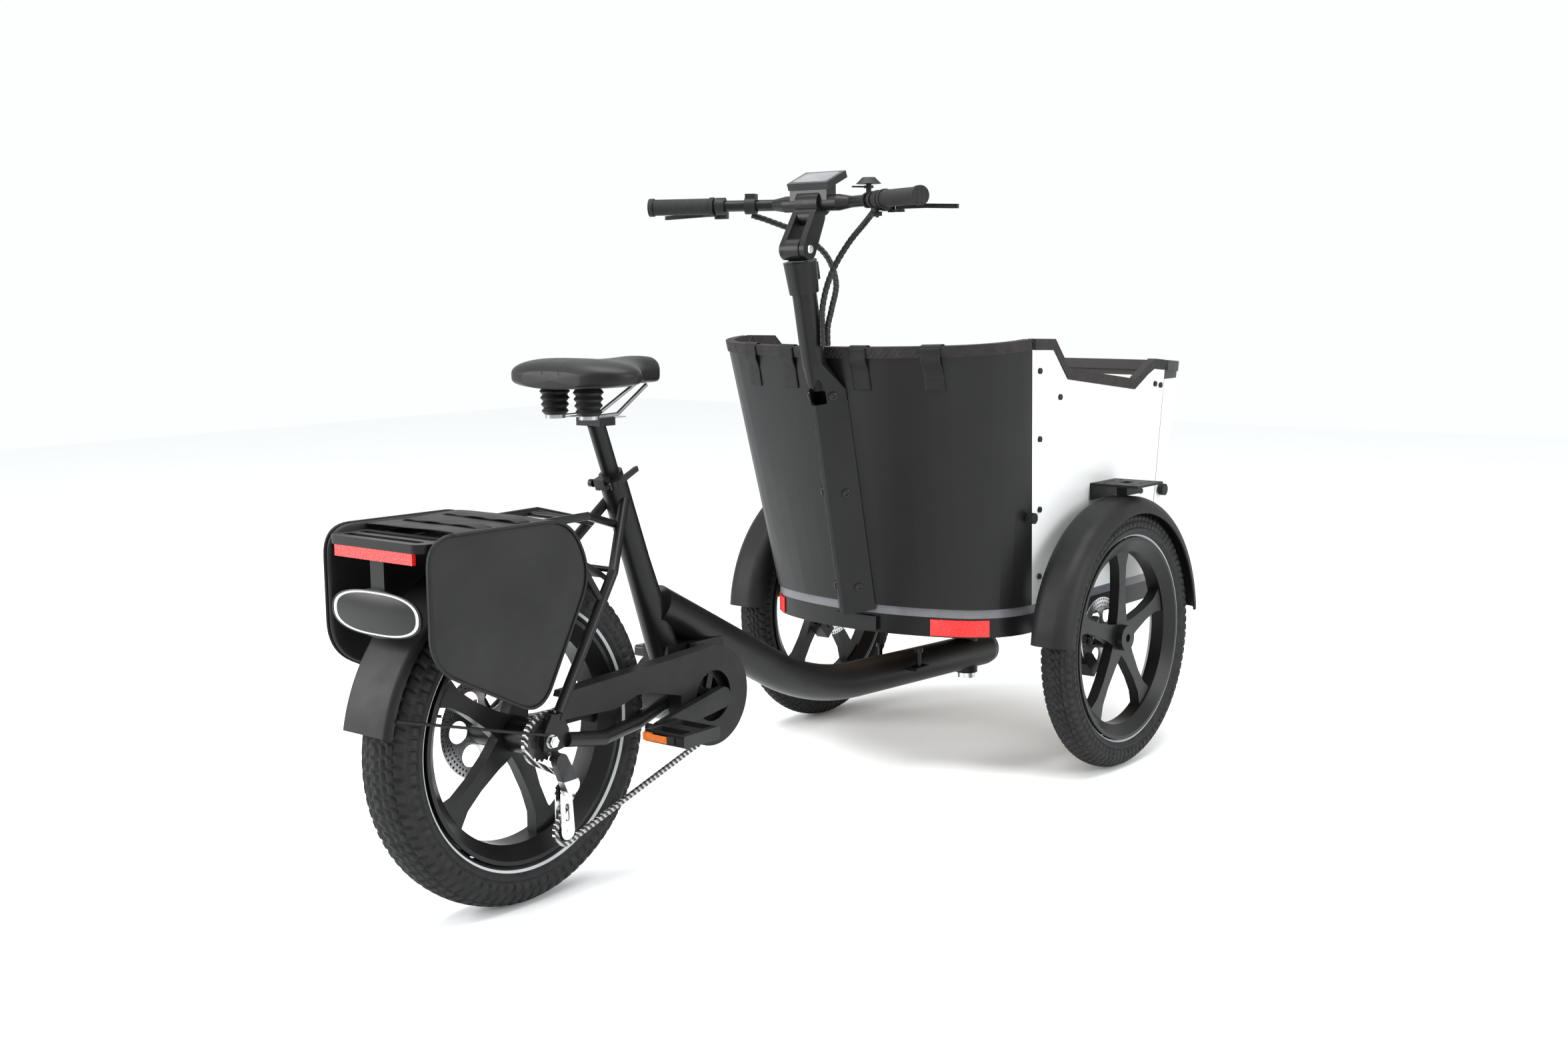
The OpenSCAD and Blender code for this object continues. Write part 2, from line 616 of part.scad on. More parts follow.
module seat_post() color("black") {
    translate([crank_x, 0, crank_z]) rotate([0, -seat_lean, 0]) translate([0, 0, post_foot])
        cylinder(h = post_reach - post_foot, r = post_r);
    translate(seat_at(post_reach) + [0, 0, 4]) cube([38, 56, 14], center = true);
}
rail_z = seat_at(post_reach)[2] + 14.8;
saddle_x = seat_at(post_reach)[0];
module saddle_rails() color("dimgray") {
    both_sides() bent_rod([[saddle_x - 52, 38, rail_z], [saddle_x + 30, 22, rail_z], [saddle_x + 112,
        14, rail_z + 46]], 3.5);
    both_sides() translate([saddle_x - 56, 40, rail_z - 3]) cylinder(h = 6, r = 17);
    translate([saddle_x + 19.3, -20, rail_z - 6.5]) cube([34, 12, 2]);
}
bellows_low = rail_z + 3.3;
saddle_base_z = rail_z + 48;
module saddle_bellows() color("black") both_sides() translate([saddle_x - 56, 40, bellows_low]) {
    ribs = 4;
    rib_h = (saddle_base_z - bellows_low - 0.3) / ribs;
    rotate_extrude() polygon([[0, 0], each [for (k = [0:ribs - 1]) each [[18 + k, k * rib_h],
        [23 + k, (k + 0.5) * rib_h]]], [18 + ribs, ribs * rib_h], [0, ribs * rib_h]]);
}
saddle_top_z = saddle_base_z + 48;
module saddle() color([0.1, 0.1, 0.1]) difference() {
    hull() {
        for (s = [-1, 1]) translate([saddle_x - 48, s * 104, saddle_base_z + 21]) sphere(33, $fn = 24);
        for (s = [-1, 1]) translate([saddle_x - 80, s * 62, saddle_base_z + 21]) sphere(24, $fn = 24);
        translate([saddle_x - 40, 0, saddle_top_z - 30]) sphere(28, $fn = 24);
        translate([saddle_x + 128, 0, saddle_base_z + 24]) sphere(20, $fn = 24);
    }
    translate([saddle_x - 200, -200, saddle_base_z - 40]) cube([400, 400, 40]);
}
module seat_lever() color("black") translate([crank_x, 0, crank_z]) rotate([0, -seat_lean, 0])
    translate([-skewer_back, -lever_y, seat_tube_len + collar_h / 2]) {
        cylinder(h = 14, r = lever_barrel_r, center = true);
        hull() {
            translate([6, -3, 0]) cylinder(h = 10, r = 3, center = true);
            translate([52, -8, 6]) cylinder(h = 8, r = 4, center = true);
        }
    }

// ---- Steered front frame ----

subframe_z = 270;
rail_z0 = box_foot_z - 40;
module kingpin() color("silver") translate([kingpin_x, 0, 0]) {
    translate([0, 0, head_low - 6]) cylinder(h = subframe_z - head_low + 6, r = kingpin_r);
    translate([0, 0, head_low - 12]) difference() {
        cylinder(h = 11.5, r = 20);
        translate([0, 0, -1]) cylinder(h = 5, r = 10, $fn = 6);
    }
    translate([0, 0, head_high + 1]) cylinder(h = subframe_z - head_high - 1, r = 22);
}

// Plan outline of the box: a shallow arc and two tight corner arcs at each end, straight sides
rear_corner_r = 150;
rear_sweep = 22.5;
front_corner_r = 90;
front_sweep = 14;
arc_steps = 6;
function half_end(w, corner, sweep) = let (big = corner + (w - corner) / sin(sweep))
    concat([for (k = [0:arc_steps]) let (a = sweep * k / arc_steps) [big - big * cos(a), big * sin(a)]],
        [for (k = [1:arc_steps]) let (a = sweep + (90 - sweep) * k / arc_steps)
            [big - (big - corner) * cos(sweep) - corner * cos(a),
                (big - corner) * sin(sweep) + corner * sin(a)]]);
function box_outline(w, rear, front, inset) = let (a = half_end(w - inset, rear_corner_r - inset,
    rear_sweep),
    b = half_end(w - inset, front_corner_r - inset, front_sweep))
    concat([for (p = a) [rear + inset + p[0], p[1]]], [for (p = reversed(b)) [front - inset - p[0], p[1]]],
        [for (p = b) [front - inset - p[0], -p[1]]], [for (p = reversed(a)) [rear + inset + p[0], -p[1]]]);
half_slope = (box_half_high - box_half_low) / (box_rim_z - box_foot_z);
rear_slope = (box_rear_high - box_rear_low) / (box_rim_z - box_foot_z);
function half_at(z) = box_half_low + (z - box_foot_z) * half_slope;
function rear_at(z) = box_rear_low + (z - box_foot_z) * rear_slope;
module box_plan(z, inset) polygon(box_outline(half_at(z), rear_at(z), box_front, inset));
module foot_prism(inset, z0, z1) translate([0, 0, z0]) linear_extrude(z1 - z0) box_plan(box_foot_z, inset);
loft_top = box_rim_z + 50;
module box_loft(inset) hull() {
    translate([0, 0, box_foot_z]) linear_extrude(0.01) box_plan(box_foot_z, inset);
    translate([0, 0, loft_top]) linear_extrude(0.01) box_plan(loft_top, inset);
}
module box_band(out, inn) difference() {
    box_loft(out);
    box_loft(inn);
    translate([box_rear_low, -200, loft_top - 1]) cube([10, 10, 4]);
}
// Side view of the panels' upper edge, from the rear wall's middle to the front
rear_top_z = box_rim_z - 18;
corner_top_z = box_rim_z - 4;
side_top = [[box_rear_high - 60, rear_top_z - 4], [box_rear_high, rear_top_z], [1044, corner_top_z],
    [1129, corner_top_z - 3],
    [1160, corner_top_z - 32], [1195, corner_top_z - 64], [1482, corner_top_z - 99], [1535,
        corner_top_z - 70],
    [1562, corner_top_z - 59], [box_front - 90, corner_top_z - 70], [box_front + 30, corner_top_z - 72]];
panel_foot_z = box_foot_z + 18;
rear_seam = [[1044, 908], [1142, 340]];
front_seam = [[1611, 920], [1636, 340]];
module side_view(points) translate([0, 500, 0]) rotate([90, 0, 0]) linear_extrude(1000) polygon(points);
module under_top(z0) side_view(concat([[box_rear_high - 60, z0]], side_top, [[box_front + 30, z0]]));
module trim_strip() side_view(concat(side_top, [for (p = reversed(side_top)) p + [0, trim_h]]));
module behind(seam, shift) side_view([[600, 300], [seam[1][0] + shift + 7, 300], seam[1] + [shift, 0],
    seam[0] + [shift, 0],
    [seam[0][0] + shift - 3, 960], [600, 960]]);
module ahead(seam, shift) side_view([[2000, 300], [seam[1][0] + shift + 7, 300], seam[1] + [shift, 0],
    seam[0] + [shift, 0],
    [seam[0][0] + shift - 3, 960], [2000, 960]]);

module subframe() color("black") {
    difference() {
        union() {
            translate([wheelbase - 25, -318, subframe_z]) cube([50, 636, 35]);
            translate([kingpin_x - 70, -75, subframe_z]) cube([140, 150, 6]);
            both_sides() {
                translate([wheelbase - 32, 318, front_axle_z - 34]) cube([64, 12, 66]);
                translate([wheelbase, 0, front_axle_z]) translate([0, 318 + (wheel_y + 20 - 318) / 2,
                    0]) across_y(wheel_y + 20 - 318, stub_r);
                translate([wheelbase, wheel_y - front_hub_in - 7, front_axle_z]) across_y(13, 14);
            }
            intersection() {
                foot_prism(22, rail_z0, box_foot_z - 15);
                both_sides() union() {
                    translate([900, 85, rail_z0]) cube([1000, 30, 25]);
                    translate([wheelbase - 25, 0, rail_z0]) cube([50, 400, 25]);
                }
            }
        }
    }
}
module rail_ring() color("black") difference() {
    foot_prism(0, rail_z0, box_foot_z);
    foot_prism(22, rail_z0 - 1, box_foot_z + 1);
}
module base_strip() color([0.4, 0.4, 0.42, 0.7]) difference() {
    foot_prism(-0.5, box_foot_z, panel_foot_z - 0.2);
    foot_prism(14, box_foot_z - 1, panel_foot_z + 1);
}
module box_floor() color("tan") foot_prism(22, box_foot_z - 15, box_foot_z - 3);
module rear_wall() color([0.06, 0.06, 0.07]) intersection() {
    box_band(0, panel_t);
    under_top(panel_foot_z);
    behind(rear_seam, 0);
}
module side_panels() color("white") intersection() {
    box_band(0, panel_t);
    under_top(panel_foot_z);
    ahead(rear_seam, 0.2);
    behind(front_seam, 0);
}
door_gap = 3;
module door_shell() intersection() {
    box_band(0, panel_t);
    under_top(panel_foot_z + 2);
    ahead(front_seam, door_gap);
}
latch_at = [1650, 551];
// Door hinge: a slanted pin just outside the left front seam
hinge_out = 7;
hinge_pin_r = 3;
hinge_gap = 0.1;
filler_in = 1.6;      // the seam strips sit this far under the panels' faces
hinge_knuckle_r = 6;
hinge_low = [front_seam[1][0] + door_gap / 2, half_at(front_seam[1][1]) + hinge_out, front_seam[1][1]];
hinge_high = [front_seam[0][0] + door_gap / 2, half_at(front_seam[0][1]) + hinge_out, front_seam[0][1]];
hinge_dir = (hinge_high - hinge_low) / norm(hinge_high - hinge_low);
hinge_places = [80, 380];      // along the pin's line, from its lower end
module on_hinge(s) translate(hinge_low) rotate([-asin(hinge_dir[1]), atan2(hinge_dir[0], hinge_dir[2]), 0])
    translate([0, 0, s]) children();
module door_knuckle() {
    cylinder(h = 24, r = hinge_knuckle_r);
    translate([0, -hinge_out - 1, 0]) cube([16, 6, 24]);
}
module frame_knuckles() {
    translate([0, 0, -12]) cylinder(h = 48, r = hinge_pin_r);
    for (z = [-12, 24.3]) translate([0, 0, z]) {
        cylinder(h = 11.7, r = hinge_knuckle_r);
        translate([-16, -hinge_out + seat_gap, 0]) cube([16, 4, 11.7]);
    }
}
module front_door() color("white") {
    difference() {
        union() {
            door_shell();
            for (s = hinge_places) on_hinge(s) door_knuckle();
        }
        translate([latch_at[0], -half_at(latch_at[1]), latch_at[1]]) across_y(60, 4 + run_gap);
        for (s = hinge_places) on_hinge(s - 20) cylinder(h = 64, r = hinge_pin_r + hinge_gap, $fn = 90);
    }
    color("black") intersection() {
        box_band(-trim_proud, panel_t + trim_proud);
        trim_strip();
        ahead(front_seam, door_gap + 6);
    }
}
module rim_trim() color([0.15, 0.13, 0.13]) intersection() {
    box_band(-trim_proud, panel_t + trim_proud);
    trim_strip();
    union() {
        behind(rear_seam, -8);
        intersection() {
            ahead(rear_seam, 8);
            behind(front_seam, -6);
        }
    }
}
module latch_knob() color("black") translate([latch_at[0], -half_at(latch_at[1]), latch_at[1]]) {
    translate([0, -9, 0]) across_y(12, 13);
    translate([0, 4, 0]) across_y(34, 4);
}
module reflectors() color("red") {
    difference() {
        union() {
            intersection() {
                foot_prism(-2.5, rail_z0 + 3, box_foot_z - 4);
                translate([900, -306, 0]) cube([140, 140, 400]);
            }
            intersection() {
                foot_prism(-2.5, rail_z0 + 3, box_foot_z - 4);
                translate([900, 232, 0]) cube([160, 66, 400]);
            }
        }
        foot_prism(0, 0, 500);
    }
}
// Angle strips and round-headed screws along the two rear seams and on the panels
module screw(x, z, s) translate([x, s * (half_at(z) + 2.5), z]) across_y(3.6, 6);
module box_fasteners() color("black") {
    for (s = [-1, 1]) {
        for (z = [840, 704, 560, 420]) screw(rear_seam[0][0] + (908 - z) * 0.1725 + 26, z, s);
        for (p = [[1170, 784], [1574, 790], [1600, 786], [1560, 556], [1570, 420]]) screw(p[0], p[1], s);
    }
    for (s = hinge_places) on_hinge(s) frame_knuckles();
    // Strips that fill the seams beside the door
    intersection() {
        box_band(filler_in, panel_t - 0.2);
        under_top(panel_foot_z);
        ahead(front_seam, 0.3);
        behind(front_seam, door_gap - 0.3);
    }
    // Studs for a rain cover on the rear corners
    both_sides() translate([1086, half_at(548) - 1, 548]) {
        translate([0, 5, 0]) across_y(9.6, 5);
        translate([0, 15, 0]) across_y(10, 11);
    }
}
fender_y = 392.5;
module front_fenders() color([0.07, 0.07, 0.07]) both_sides() translate([wheelbase, fender_y, front_axle_z])
    rotate([90, 0, 0]) rotate([0, 0, 5]) rotate_extrude(angle = 170,
        $fn = 96) fender_section(front_tyre_r + 24, 95, 4, 34);
step_z = 590;
module fender_steps() color("black") both_sides() {
    difference() {
        union() {
            translate([wheelbase - 15, half_at(step_z) + 1, step_z]) cube([110,
                443 - half_at(step_z) - 1, 5]);
            translate([wheelbase - 15, half_at(step_z) + 1, step_z - 30]) cube([110, 5, 32]);
            translate([wheelbase + 10, fender_y - 12, step_z - 19.5]) cube([60, 24, 20]);
        }
        for (x = [5, 40, 75], y = [24, 90]) translate([wheelbase + x, half_at(step_z) + y,
            step_z - 1]) cylinder(h = 10, r = 4);
        translate([wheelbase + 25, half_at(step_z) + 45, step_z - 1]) cube([30, 22, 10]);
        translate([wheelbase, fender_y, front_axle_z]) across_y(95, front_tyre_r + 24.3);
    }
}
module front_calipers() color([0.1, 0.1, 0.1]) both_sides() translate([wheelbase,
    wheel_y - front_hub_in + 1, front_axle_z])
    rotate([0, -135, 0]) {
        translate([0, -3, front_disc_r - 4]) caliper(8);
        translate([-8, 330.3 - wheel_y + front_hub_in - 1, 20]) cube([16, 6, 52]);
    }

// ---- Mast and handlebar ----

mast_lean = atan(-rear_slope);
mast_foot = [box_rear_low - 3.6, 0, box_foot_z + 7];
vee_len = 462;
vee_blend = 60;       // length over which the folded section turns into the round tube
tube_back = 27.5;
vee_relief = 1.8;
mast_top = 676;
vee_outside = [[3, -48], [-41, -9], [-46, -4], [-46, 4], [-41, 9], [3, 48]];
module on_mast() translate(mast_foot) rotate([0, -mast_lean, 0]) children();
pivot_at = [774, 1079];
clamp_at = [823, 1168];
tongue_half = 17;
pivot_pin_r = 6;
module mast() {
    color("black") on_mast() difference() {
        union() {
            linear_extrude(vee_len) polygon(concat(vee_outside, [[2.7, 40], [-36, 6], [-40, 2], [-40, -2],
                [-36, -6], [2.7, -40]]));
            hull() {
                translate([0, 0, vee_len]) linear_extrude(0.1) polygon(vee_outside);
                translate([-tube_back, 0, vee_len + vee_blend]) cylinder(h = 0.1, r = mast_r);
            }
            translate([-tube_back, 0, vee_len + vee_blend])
                cylinder(h = mast_top - vee_len - vee_blend, r = mast_r);
        }
        for (z = [54, 255, 455], s = [-1, 1]) translate([-21, s * 29, z]) rotate([0, 90,
            s * 136]) cylinder(h = 30, r = 7);
        translate([-tube_back, 0, vee_len - 20]) cylinder(h = 400, r = mast_r - 4);
        // Relief that keeps the blend off the rear wall
        translate([vee_relief, -60, vee_len - 20]) cube([40, 120, vee_blend + 60]);
    }
    // Stem base that clamps on the tube, with its hinge tongue
    color("black") difference() {
        union() {
            on_mast() translate([-tube_back, 0, mast_top - 12]) cylinder(h = 62, r1 = 29, r2 = 33);
            translate([pivot_at[0], 0, pivot_at[1]]) across_y(2 * tongue_half, 22);
            on_mast() translate([-tube_back + 24, 0, mast_top + 8]) rotate([90, 0, 0]) translate([0, 0,
                -16]) cube([12, 34, 32]);
        }
        on_mast() translate([-tube_back, 0, mast_top - 13]) cylinder(h = 13, r = mast_r);
        translate([pivot_at[0], 0, pivot_at[1]]) across_y(100, pivot_pin_r + run_gap);
        both_sides() translate([pivot_at[0], 25 + tongue_half + 0.3, pivot_at[1]]) across_y(50, 24);
    }
    // Foot bracket on the rail with two bolts
    color("black") translate([box_rear_low - 6.3, -52, rail_z0 + 6]) cube([6, 104, 28]);
}
arm_t = 13;
module stem_riser() color("black") difference() {
    union() {
        both_sides() hull() {
            translate([pivot_at[0], tongue_half + 0.3 + arm_t / 2, pivot_at[1]]) across_y(arm_t, 20);
            translate([clamp_at[0] - 14, tongue_half - 2 + arm_t / 2,
                clamp_at[1] - 26]) across_y(arm_t, 17);
        }
        translate([clamp_at[0], 0, clamp_at[1]]) across_y(54, 24);
        translate([clamp_at[0] - 14, 0, clamp_at[1] - 26]) across_y(40, 17);
        translate([pivot_at[0], 0, pivot_at[1]]) across_y(2 * tongue_half + 28, pivot_pin_r);
    }
    translate([clamp_at[0], 0, clamp_at[1]]) across_y(60, bar_clamp_r + 0.02);
    difference() {
        translate([pivot_at[0], 0, pivot_at[1]]) across_y(2 * tongue_half + 0.6, 24);
        translate([pivot_at[0], 0, pivot_at[1]]) across_y(2 * tongue_half + 2, pivot_pin_r);
    }
}
bar_bend_y = 95;
grip_end = [715, bar_half];
bar_dir = (grip_end - [clamp_at[0], bar_bend_y]) / norm(grip_end - [clamp_at[0], bar_bend_y]);
function on_bar(d) = [grip_end[0] - bar_dir[0] * d, grip_end[1] - bar_dir[1] * d, clamp_at[1]];
bar_turn = atan2(bar_dir[1], bar_dir[0]) - 90;
module at_bar(d) translate(on_bar(d)) rotate([0, 0, bar_turn]) children();
module handlebar() color("black") {
    translate([clamp_at[0], 0, clamp_at[1]]) across_y(130, bar_clamp_r);
    both_sides() {
        translate([clamp_at[0], 64.9, clamp_at[1]]) rotate([-90, 0, 0]) cylinder(h = 30.1,
            r1 = bar_clamp_r, r2 = bar_r);
        translate([clamp_at[0], bar_bend_y, clamp_at[1]]) rotate([-90, 0, 50]) sphere(bar_r + 0.1);
        rod([clamp_at[0], bar_bend_y, clamp_at[1]], [grip_end[0], grip_end[1], clamp_at[1]], bar_r);
    }
}
module grips() color([0.15, 0.15, 0.15]) both_sides() at_bar(grip_len) difference() {
    union() {
        rotate([-90, 0, 0]) cylinder(h = grip_len + 4, r = 16);
        rotate([-90, 0, 0]) cylinder(h = 8, r = 18);
        translate([0, grip_len - 5, 0]) rotate([-90, 0, 0]) cylinder(h = 9, r = 18);
    }
    translate([0, -1, 0]) rotate([-90, 0, 0]) cylinder(h = grip_len + 1, r = bar_r + 0.02);
}
screen_tilt = 22;
module display() color([0.2, 0.2, 0.2]) {
    translate([clamp_at[0] + 14, 0, clamp_at[1] + 44]) rotate([0, -screen_tilt, 0]) cube([66, 98, 14],
        center = true);
    difference() {
        translate([clamp_at[0], 0, clamp_at[1] + 19]) cube([30, 90, 38], center = true);
        translate([clamp_at[0], 0, clamp_at[1]]) across_y(200, bar_clamp_r + 0.02);
        translate([clamp_at[0], 0, clamp_at[1]]) across_y(54.6, 24.3);
        translate([clamp_at[0] + 14, 0, clamp_at[1] + 44]) rotate([0, -screen_tilt, 0]) translate([0,
            0, 20 - 7]) cube([120, 120, 40], center = true);
    }
}
perch_d = grip_len + 14;      // brake perch, measured along the bar from its end
lever_pivot = [36, 14, -14];  // lever pivot from the perch's centre: ahead, outboard, down
lever_pin_r = 3;
bell_foot_r = 5;
module perch() at_bar(perch_d) {
    difference() {
        union() {
            across_y(18, 17);
            translate([8, -8, -22]) cube([21, 13.5, 24]);
            for (z = [-24, -9]) {
                translate([20, -7, z]) cube([12, lever_pivot[1] + 12, 5]);
                translate([lever_pivot[0] - 2, lever_pivot[1], z]) cylinder(h = 5, r = 9);
            }
        }
        across_y(60, bar_r);
    }
    translate([lever_pivot[0] - 2, lever_pivot[1], -23]) cylinder(h = 18, r = lever_pin_r);
}
remote_d = 206;
bell_d = 188;
shifter_d = grip_len + 36;
module bar_controls() color([0.12, 0.12, 0.12]) {
    both_sides() perch();
    // Ring-shaped assist remote on the left
    at_bar(remote_d) difference() {
        union() {
            across_y(22, 17);
            translate([2, 0, 10]) cube([26, 20, 26], center = true);
        }
        across_y(60, bar_r);
    }
    mirror([0, 1, 0]) {
        // Bell: clamp, foot and dome
        at_bar(bell_d) difference() {
            union() {
                across_y(8, 15);
                translate([0, 0, 12]) cylinder(h = 20, r = bell_foot_r);
                translate([0, 0, 30]) cylinder(h = 12, r1 = 24, r2 = 12);
            }
            across_y(60, bar_r);
        }
        // Shifter pod below the bar, with its lever's pin
        at_bar(shifter_d) {
            difference() {
                union() {
                    across_y(10, 16);
                    translate([6, 0, -20]) cylinder(h = 14, r = 12);
                }
                across_y(60, bar_r);
            }
            translate([6, 0, -33]) cylinder(h = 13, r = lever_pin_r);
        }
    }
}
module brake_lever() at_bar(perch_d) translate([lever_pivot[0] - 2, lever_pivot[1], -14]) difference() {
    union() {
        cylinder(h = 9, r = 8, center = true);
        hull() {
            translate([4, 6, 0]) cylinder(h = 9, r = 6, center = true);
            translate([34, 40, 0]) cylinder(h = 8, r = 5, center = true);
        }
        hull() {
            translate([34, 40, 0]) cylinder(h = 8, r = 5, center = true);
            translate([46, 122, -4]) cylinder(h = 8, r = 6, center = true);
        }
    }
    cylinder(h = 40, r = lever_pin_r + run_gap, center = true);
}
module brake_lever_left() color("black") brake_lever();
module brake_lever_right() color("black") mirror([0, 1, 0]) brake_lever();
module shift_lever() color("black") mirror([0, 1, 0]) at_bar(shifter_d) translate([6, 0,
    -26]) difference() {
    union() {
        cylinder(h = 8, r = 9, center = true);
        hull() {
            translate([-6, 4, 0]) cylinder(h = 6, r = 5, center = true);
            translate([-22, 30, -4]) cylinder(h = 5, r = 7, center = true);
        }
    }
    cylinder(h = 40, r = lever_pin_r + run_gap, center = true);
}
module bell_striker() color("silver") mirror([0, 1, 0]) at_bar(bell_d) difference() {
    union() {
        translate([0, 0, 22]) cylinder(h = 5, r = 9);
        translate([-34, -4, 23]) cube([28, 8, 3]);
    }
    cylinder(h = 60, r = bell_foot_r + run_gap);
}

// Cable bundles from the two brake perches down the front of the mast into its hollow
function mix(a, b, t) = a + (b - a) * t;
function spline(p, i, t) = let (n = len(p) - 1, a = p[max(i - 1, 0)], b = p[i], c = p[min(i + 1, n)],
    d = p[min(i + 2, n)])
    b + (c - a) * t / 2 + (2 * a - 5 * b + 4 * c - d) * t * t / 2 + (3 * b - a - 3 * c + d) * t * t * t / 2;
function smooth(p, steps) = concat([for (i = [0:len(p) - 2], k = [0:steps - 1]) spline(p, i,
    k / steps)], [p[len(p) - 1]]);
function tangent(q, i) = let (d = q[min(i + 1, len(q) - 1)] - q[max(i - 1, 0)]) d / norm(d);
module cable(points, r, sides = 8) {
    q = smooth(points, 3);
    n = len(q);
    rings = [for (i = [0:n - 1]) let (t = tangent(q, i), side = cross(t, [0.2, 1, 0.1]) / norm(cross(t,
        [0.2, 1, 0.1])), up = cross(side, t))
        for (k = [0:sides - 1]) q[i] + r * (cos(360 * k / sides) * side + sin(360 * k / sides) * up)];
    walls = [for (i = [0:n - 2], k = [0:sides - 1]) let (a = i * sides + k, b = i * sides + (k + 1) % sides)
        [a, a + sides, b + sides, b]];
    polyhedron(rings, concat([[for (k = [0:sides - 1]) k]], walls,
        [[for (k = [sides - 1:-1:0]) (n - 1) * sides + k]]));
}
left_cable = [[818, 150, 1150], [838, 120, 1138], [866, 66, 1112], [884, 16, 1070], [872, -18, 1016],
    [842, -30, 966], [826, -32, 930], [824, -33, 893]];
right_cable = [[818, -150, 1148], [838, -112, 1126], [846, -72, 1094], [836, -46, 1052], [820, -36, 1010],
    [808, -33, 965], [809, -32, 925], [809, -33, 893]];
module control_cables() color("black") {
    cable(left_cable, 6);
    cable(right_cable, 6);
}

// ---- Inside the box ----

bench_z = 560;
bench_back = rear_at(bench_z) + panel_t + 1;
bench_depth = 250;
bench_half = half_at(400) - panel_t - 4;
apron_half = box_half_low - 23;
module bench() color("burlywood") {
    intersection() {
        translate([bench_back, -bench_half, bench_z]) cube([bench_depth, 2 * bench_half, panel_t]);
        box_loft(panel_t + 1);
    }
    translate([bench_back + bench_depth - 20, -apron_half, box_foot_z - 3]) cube([panel_t,
        2 * apron_half, bench_z - box_foot_z + 3]);
}
module battery() color([0.15, 0.15, 0.15]) translate([bench_back + bench_depth - 130, -190,
    box_foot_z - 3]) cube([90, 380, 110]);
module cushions() color([0.2, 0.2, 0.2]) {
    intersection() {
        translate([bench_back + 46, -bench_half + 10, bench_z + panel_t + seat_gap])
            cube([bench_depth - 50, 2 * bench_half - 20, 40]);
        box_loft(panel_t + 2);
    }
    intersection() {
        difference() {
            box_loft(panel_t + 1);
            box_loft(panel_t + 31);
        }
        translate([box_rear_high, -230, bench_z + 60]) cube([250, 460, 225]);
    }
}

place() seat_tube();
place() main_tube();
place() chain_stays();
place() seat_stays();
place() motor_unit();
place() chain_case();
place() rear_axle();
place() rack();
place() tail_reflector();
place() rear_fender();
place() panniers();
place() rear_caliper();
place() derailleur();
place() chain();
place() seat_lever();
place() seat_post();
place() saddle_rails();
place() saddle_bellows();
place() saddle();
place() rear_tyre();
place() rear_rim();
place() cassette();
place() crankset();
place() pedal_right();
place() pedal_left();
place() pulley_upper();
place() pulley_lower();
place() kingpin();
place() subframe();
place() rail_ring();
place() base_strip();
place() box_floor();
place() rear_wall();
place() side_panels();
place() rim_trim();
place() reflectors();
place() box_fasteners();
place() front_fenders();
place() fender_steps();
place() front_calipers();
place() mast();
place() bench();
place() battery();
place() cushions();
place() front_door();
place() latch_knob();
place() front_tyre_left();
place() front_rim_left();
place() front_tyre_right();
place() front_rim_right();
place() stem_riser();
place() handlebar();
place() grips();
place() display();
place() bar_controls();
place() brake_lever_left();
place() brake_lever_right();
place() shift_lever();
place() bell_striker();
place() control_cables();
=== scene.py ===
"""Looks of a three-wheeled cargo bicycle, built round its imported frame.

Row frame: +X forward, +Y to the rider's left, +Z up, metres, origin on the ground under the middle.
"""
import json
import math

import bmesh
import bpy
import numpy as np
from mathutils import Matrix, Vector


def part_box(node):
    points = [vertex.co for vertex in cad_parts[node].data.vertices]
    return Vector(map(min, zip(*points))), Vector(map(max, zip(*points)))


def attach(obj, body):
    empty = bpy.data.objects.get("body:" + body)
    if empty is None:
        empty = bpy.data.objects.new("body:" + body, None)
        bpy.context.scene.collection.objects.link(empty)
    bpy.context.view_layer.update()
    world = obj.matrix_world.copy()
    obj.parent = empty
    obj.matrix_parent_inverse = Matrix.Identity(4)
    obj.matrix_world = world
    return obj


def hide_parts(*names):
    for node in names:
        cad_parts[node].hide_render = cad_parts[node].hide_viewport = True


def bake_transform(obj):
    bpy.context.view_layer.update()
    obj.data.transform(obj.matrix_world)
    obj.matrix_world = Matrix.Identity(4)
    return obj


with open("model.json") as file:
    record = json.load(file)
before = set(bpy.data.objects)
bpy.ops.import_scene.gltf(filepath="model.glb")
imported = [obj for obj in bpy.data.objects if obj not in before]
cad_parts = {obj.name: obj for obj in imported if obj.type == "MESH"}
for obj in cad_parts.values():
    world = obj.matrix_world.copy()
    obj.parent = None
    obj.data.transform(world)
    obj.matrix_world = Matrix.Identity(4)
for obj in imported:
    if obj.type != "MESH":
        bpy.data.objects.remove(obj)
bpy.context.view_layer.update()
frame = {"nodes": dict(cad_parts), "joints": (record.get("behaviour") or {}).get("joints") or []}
nodes = frame["nodes"]
pivots = {j["name"]: np.array(j["pos_m"]) for j in frame["joints"]}

# ---- Studio ----
# The viewpoint stands behind the rider's right shoulder. The floor is pale, and one broad lamp above, one on
# the left and a weak one on the right make soft gradients on the black parts.

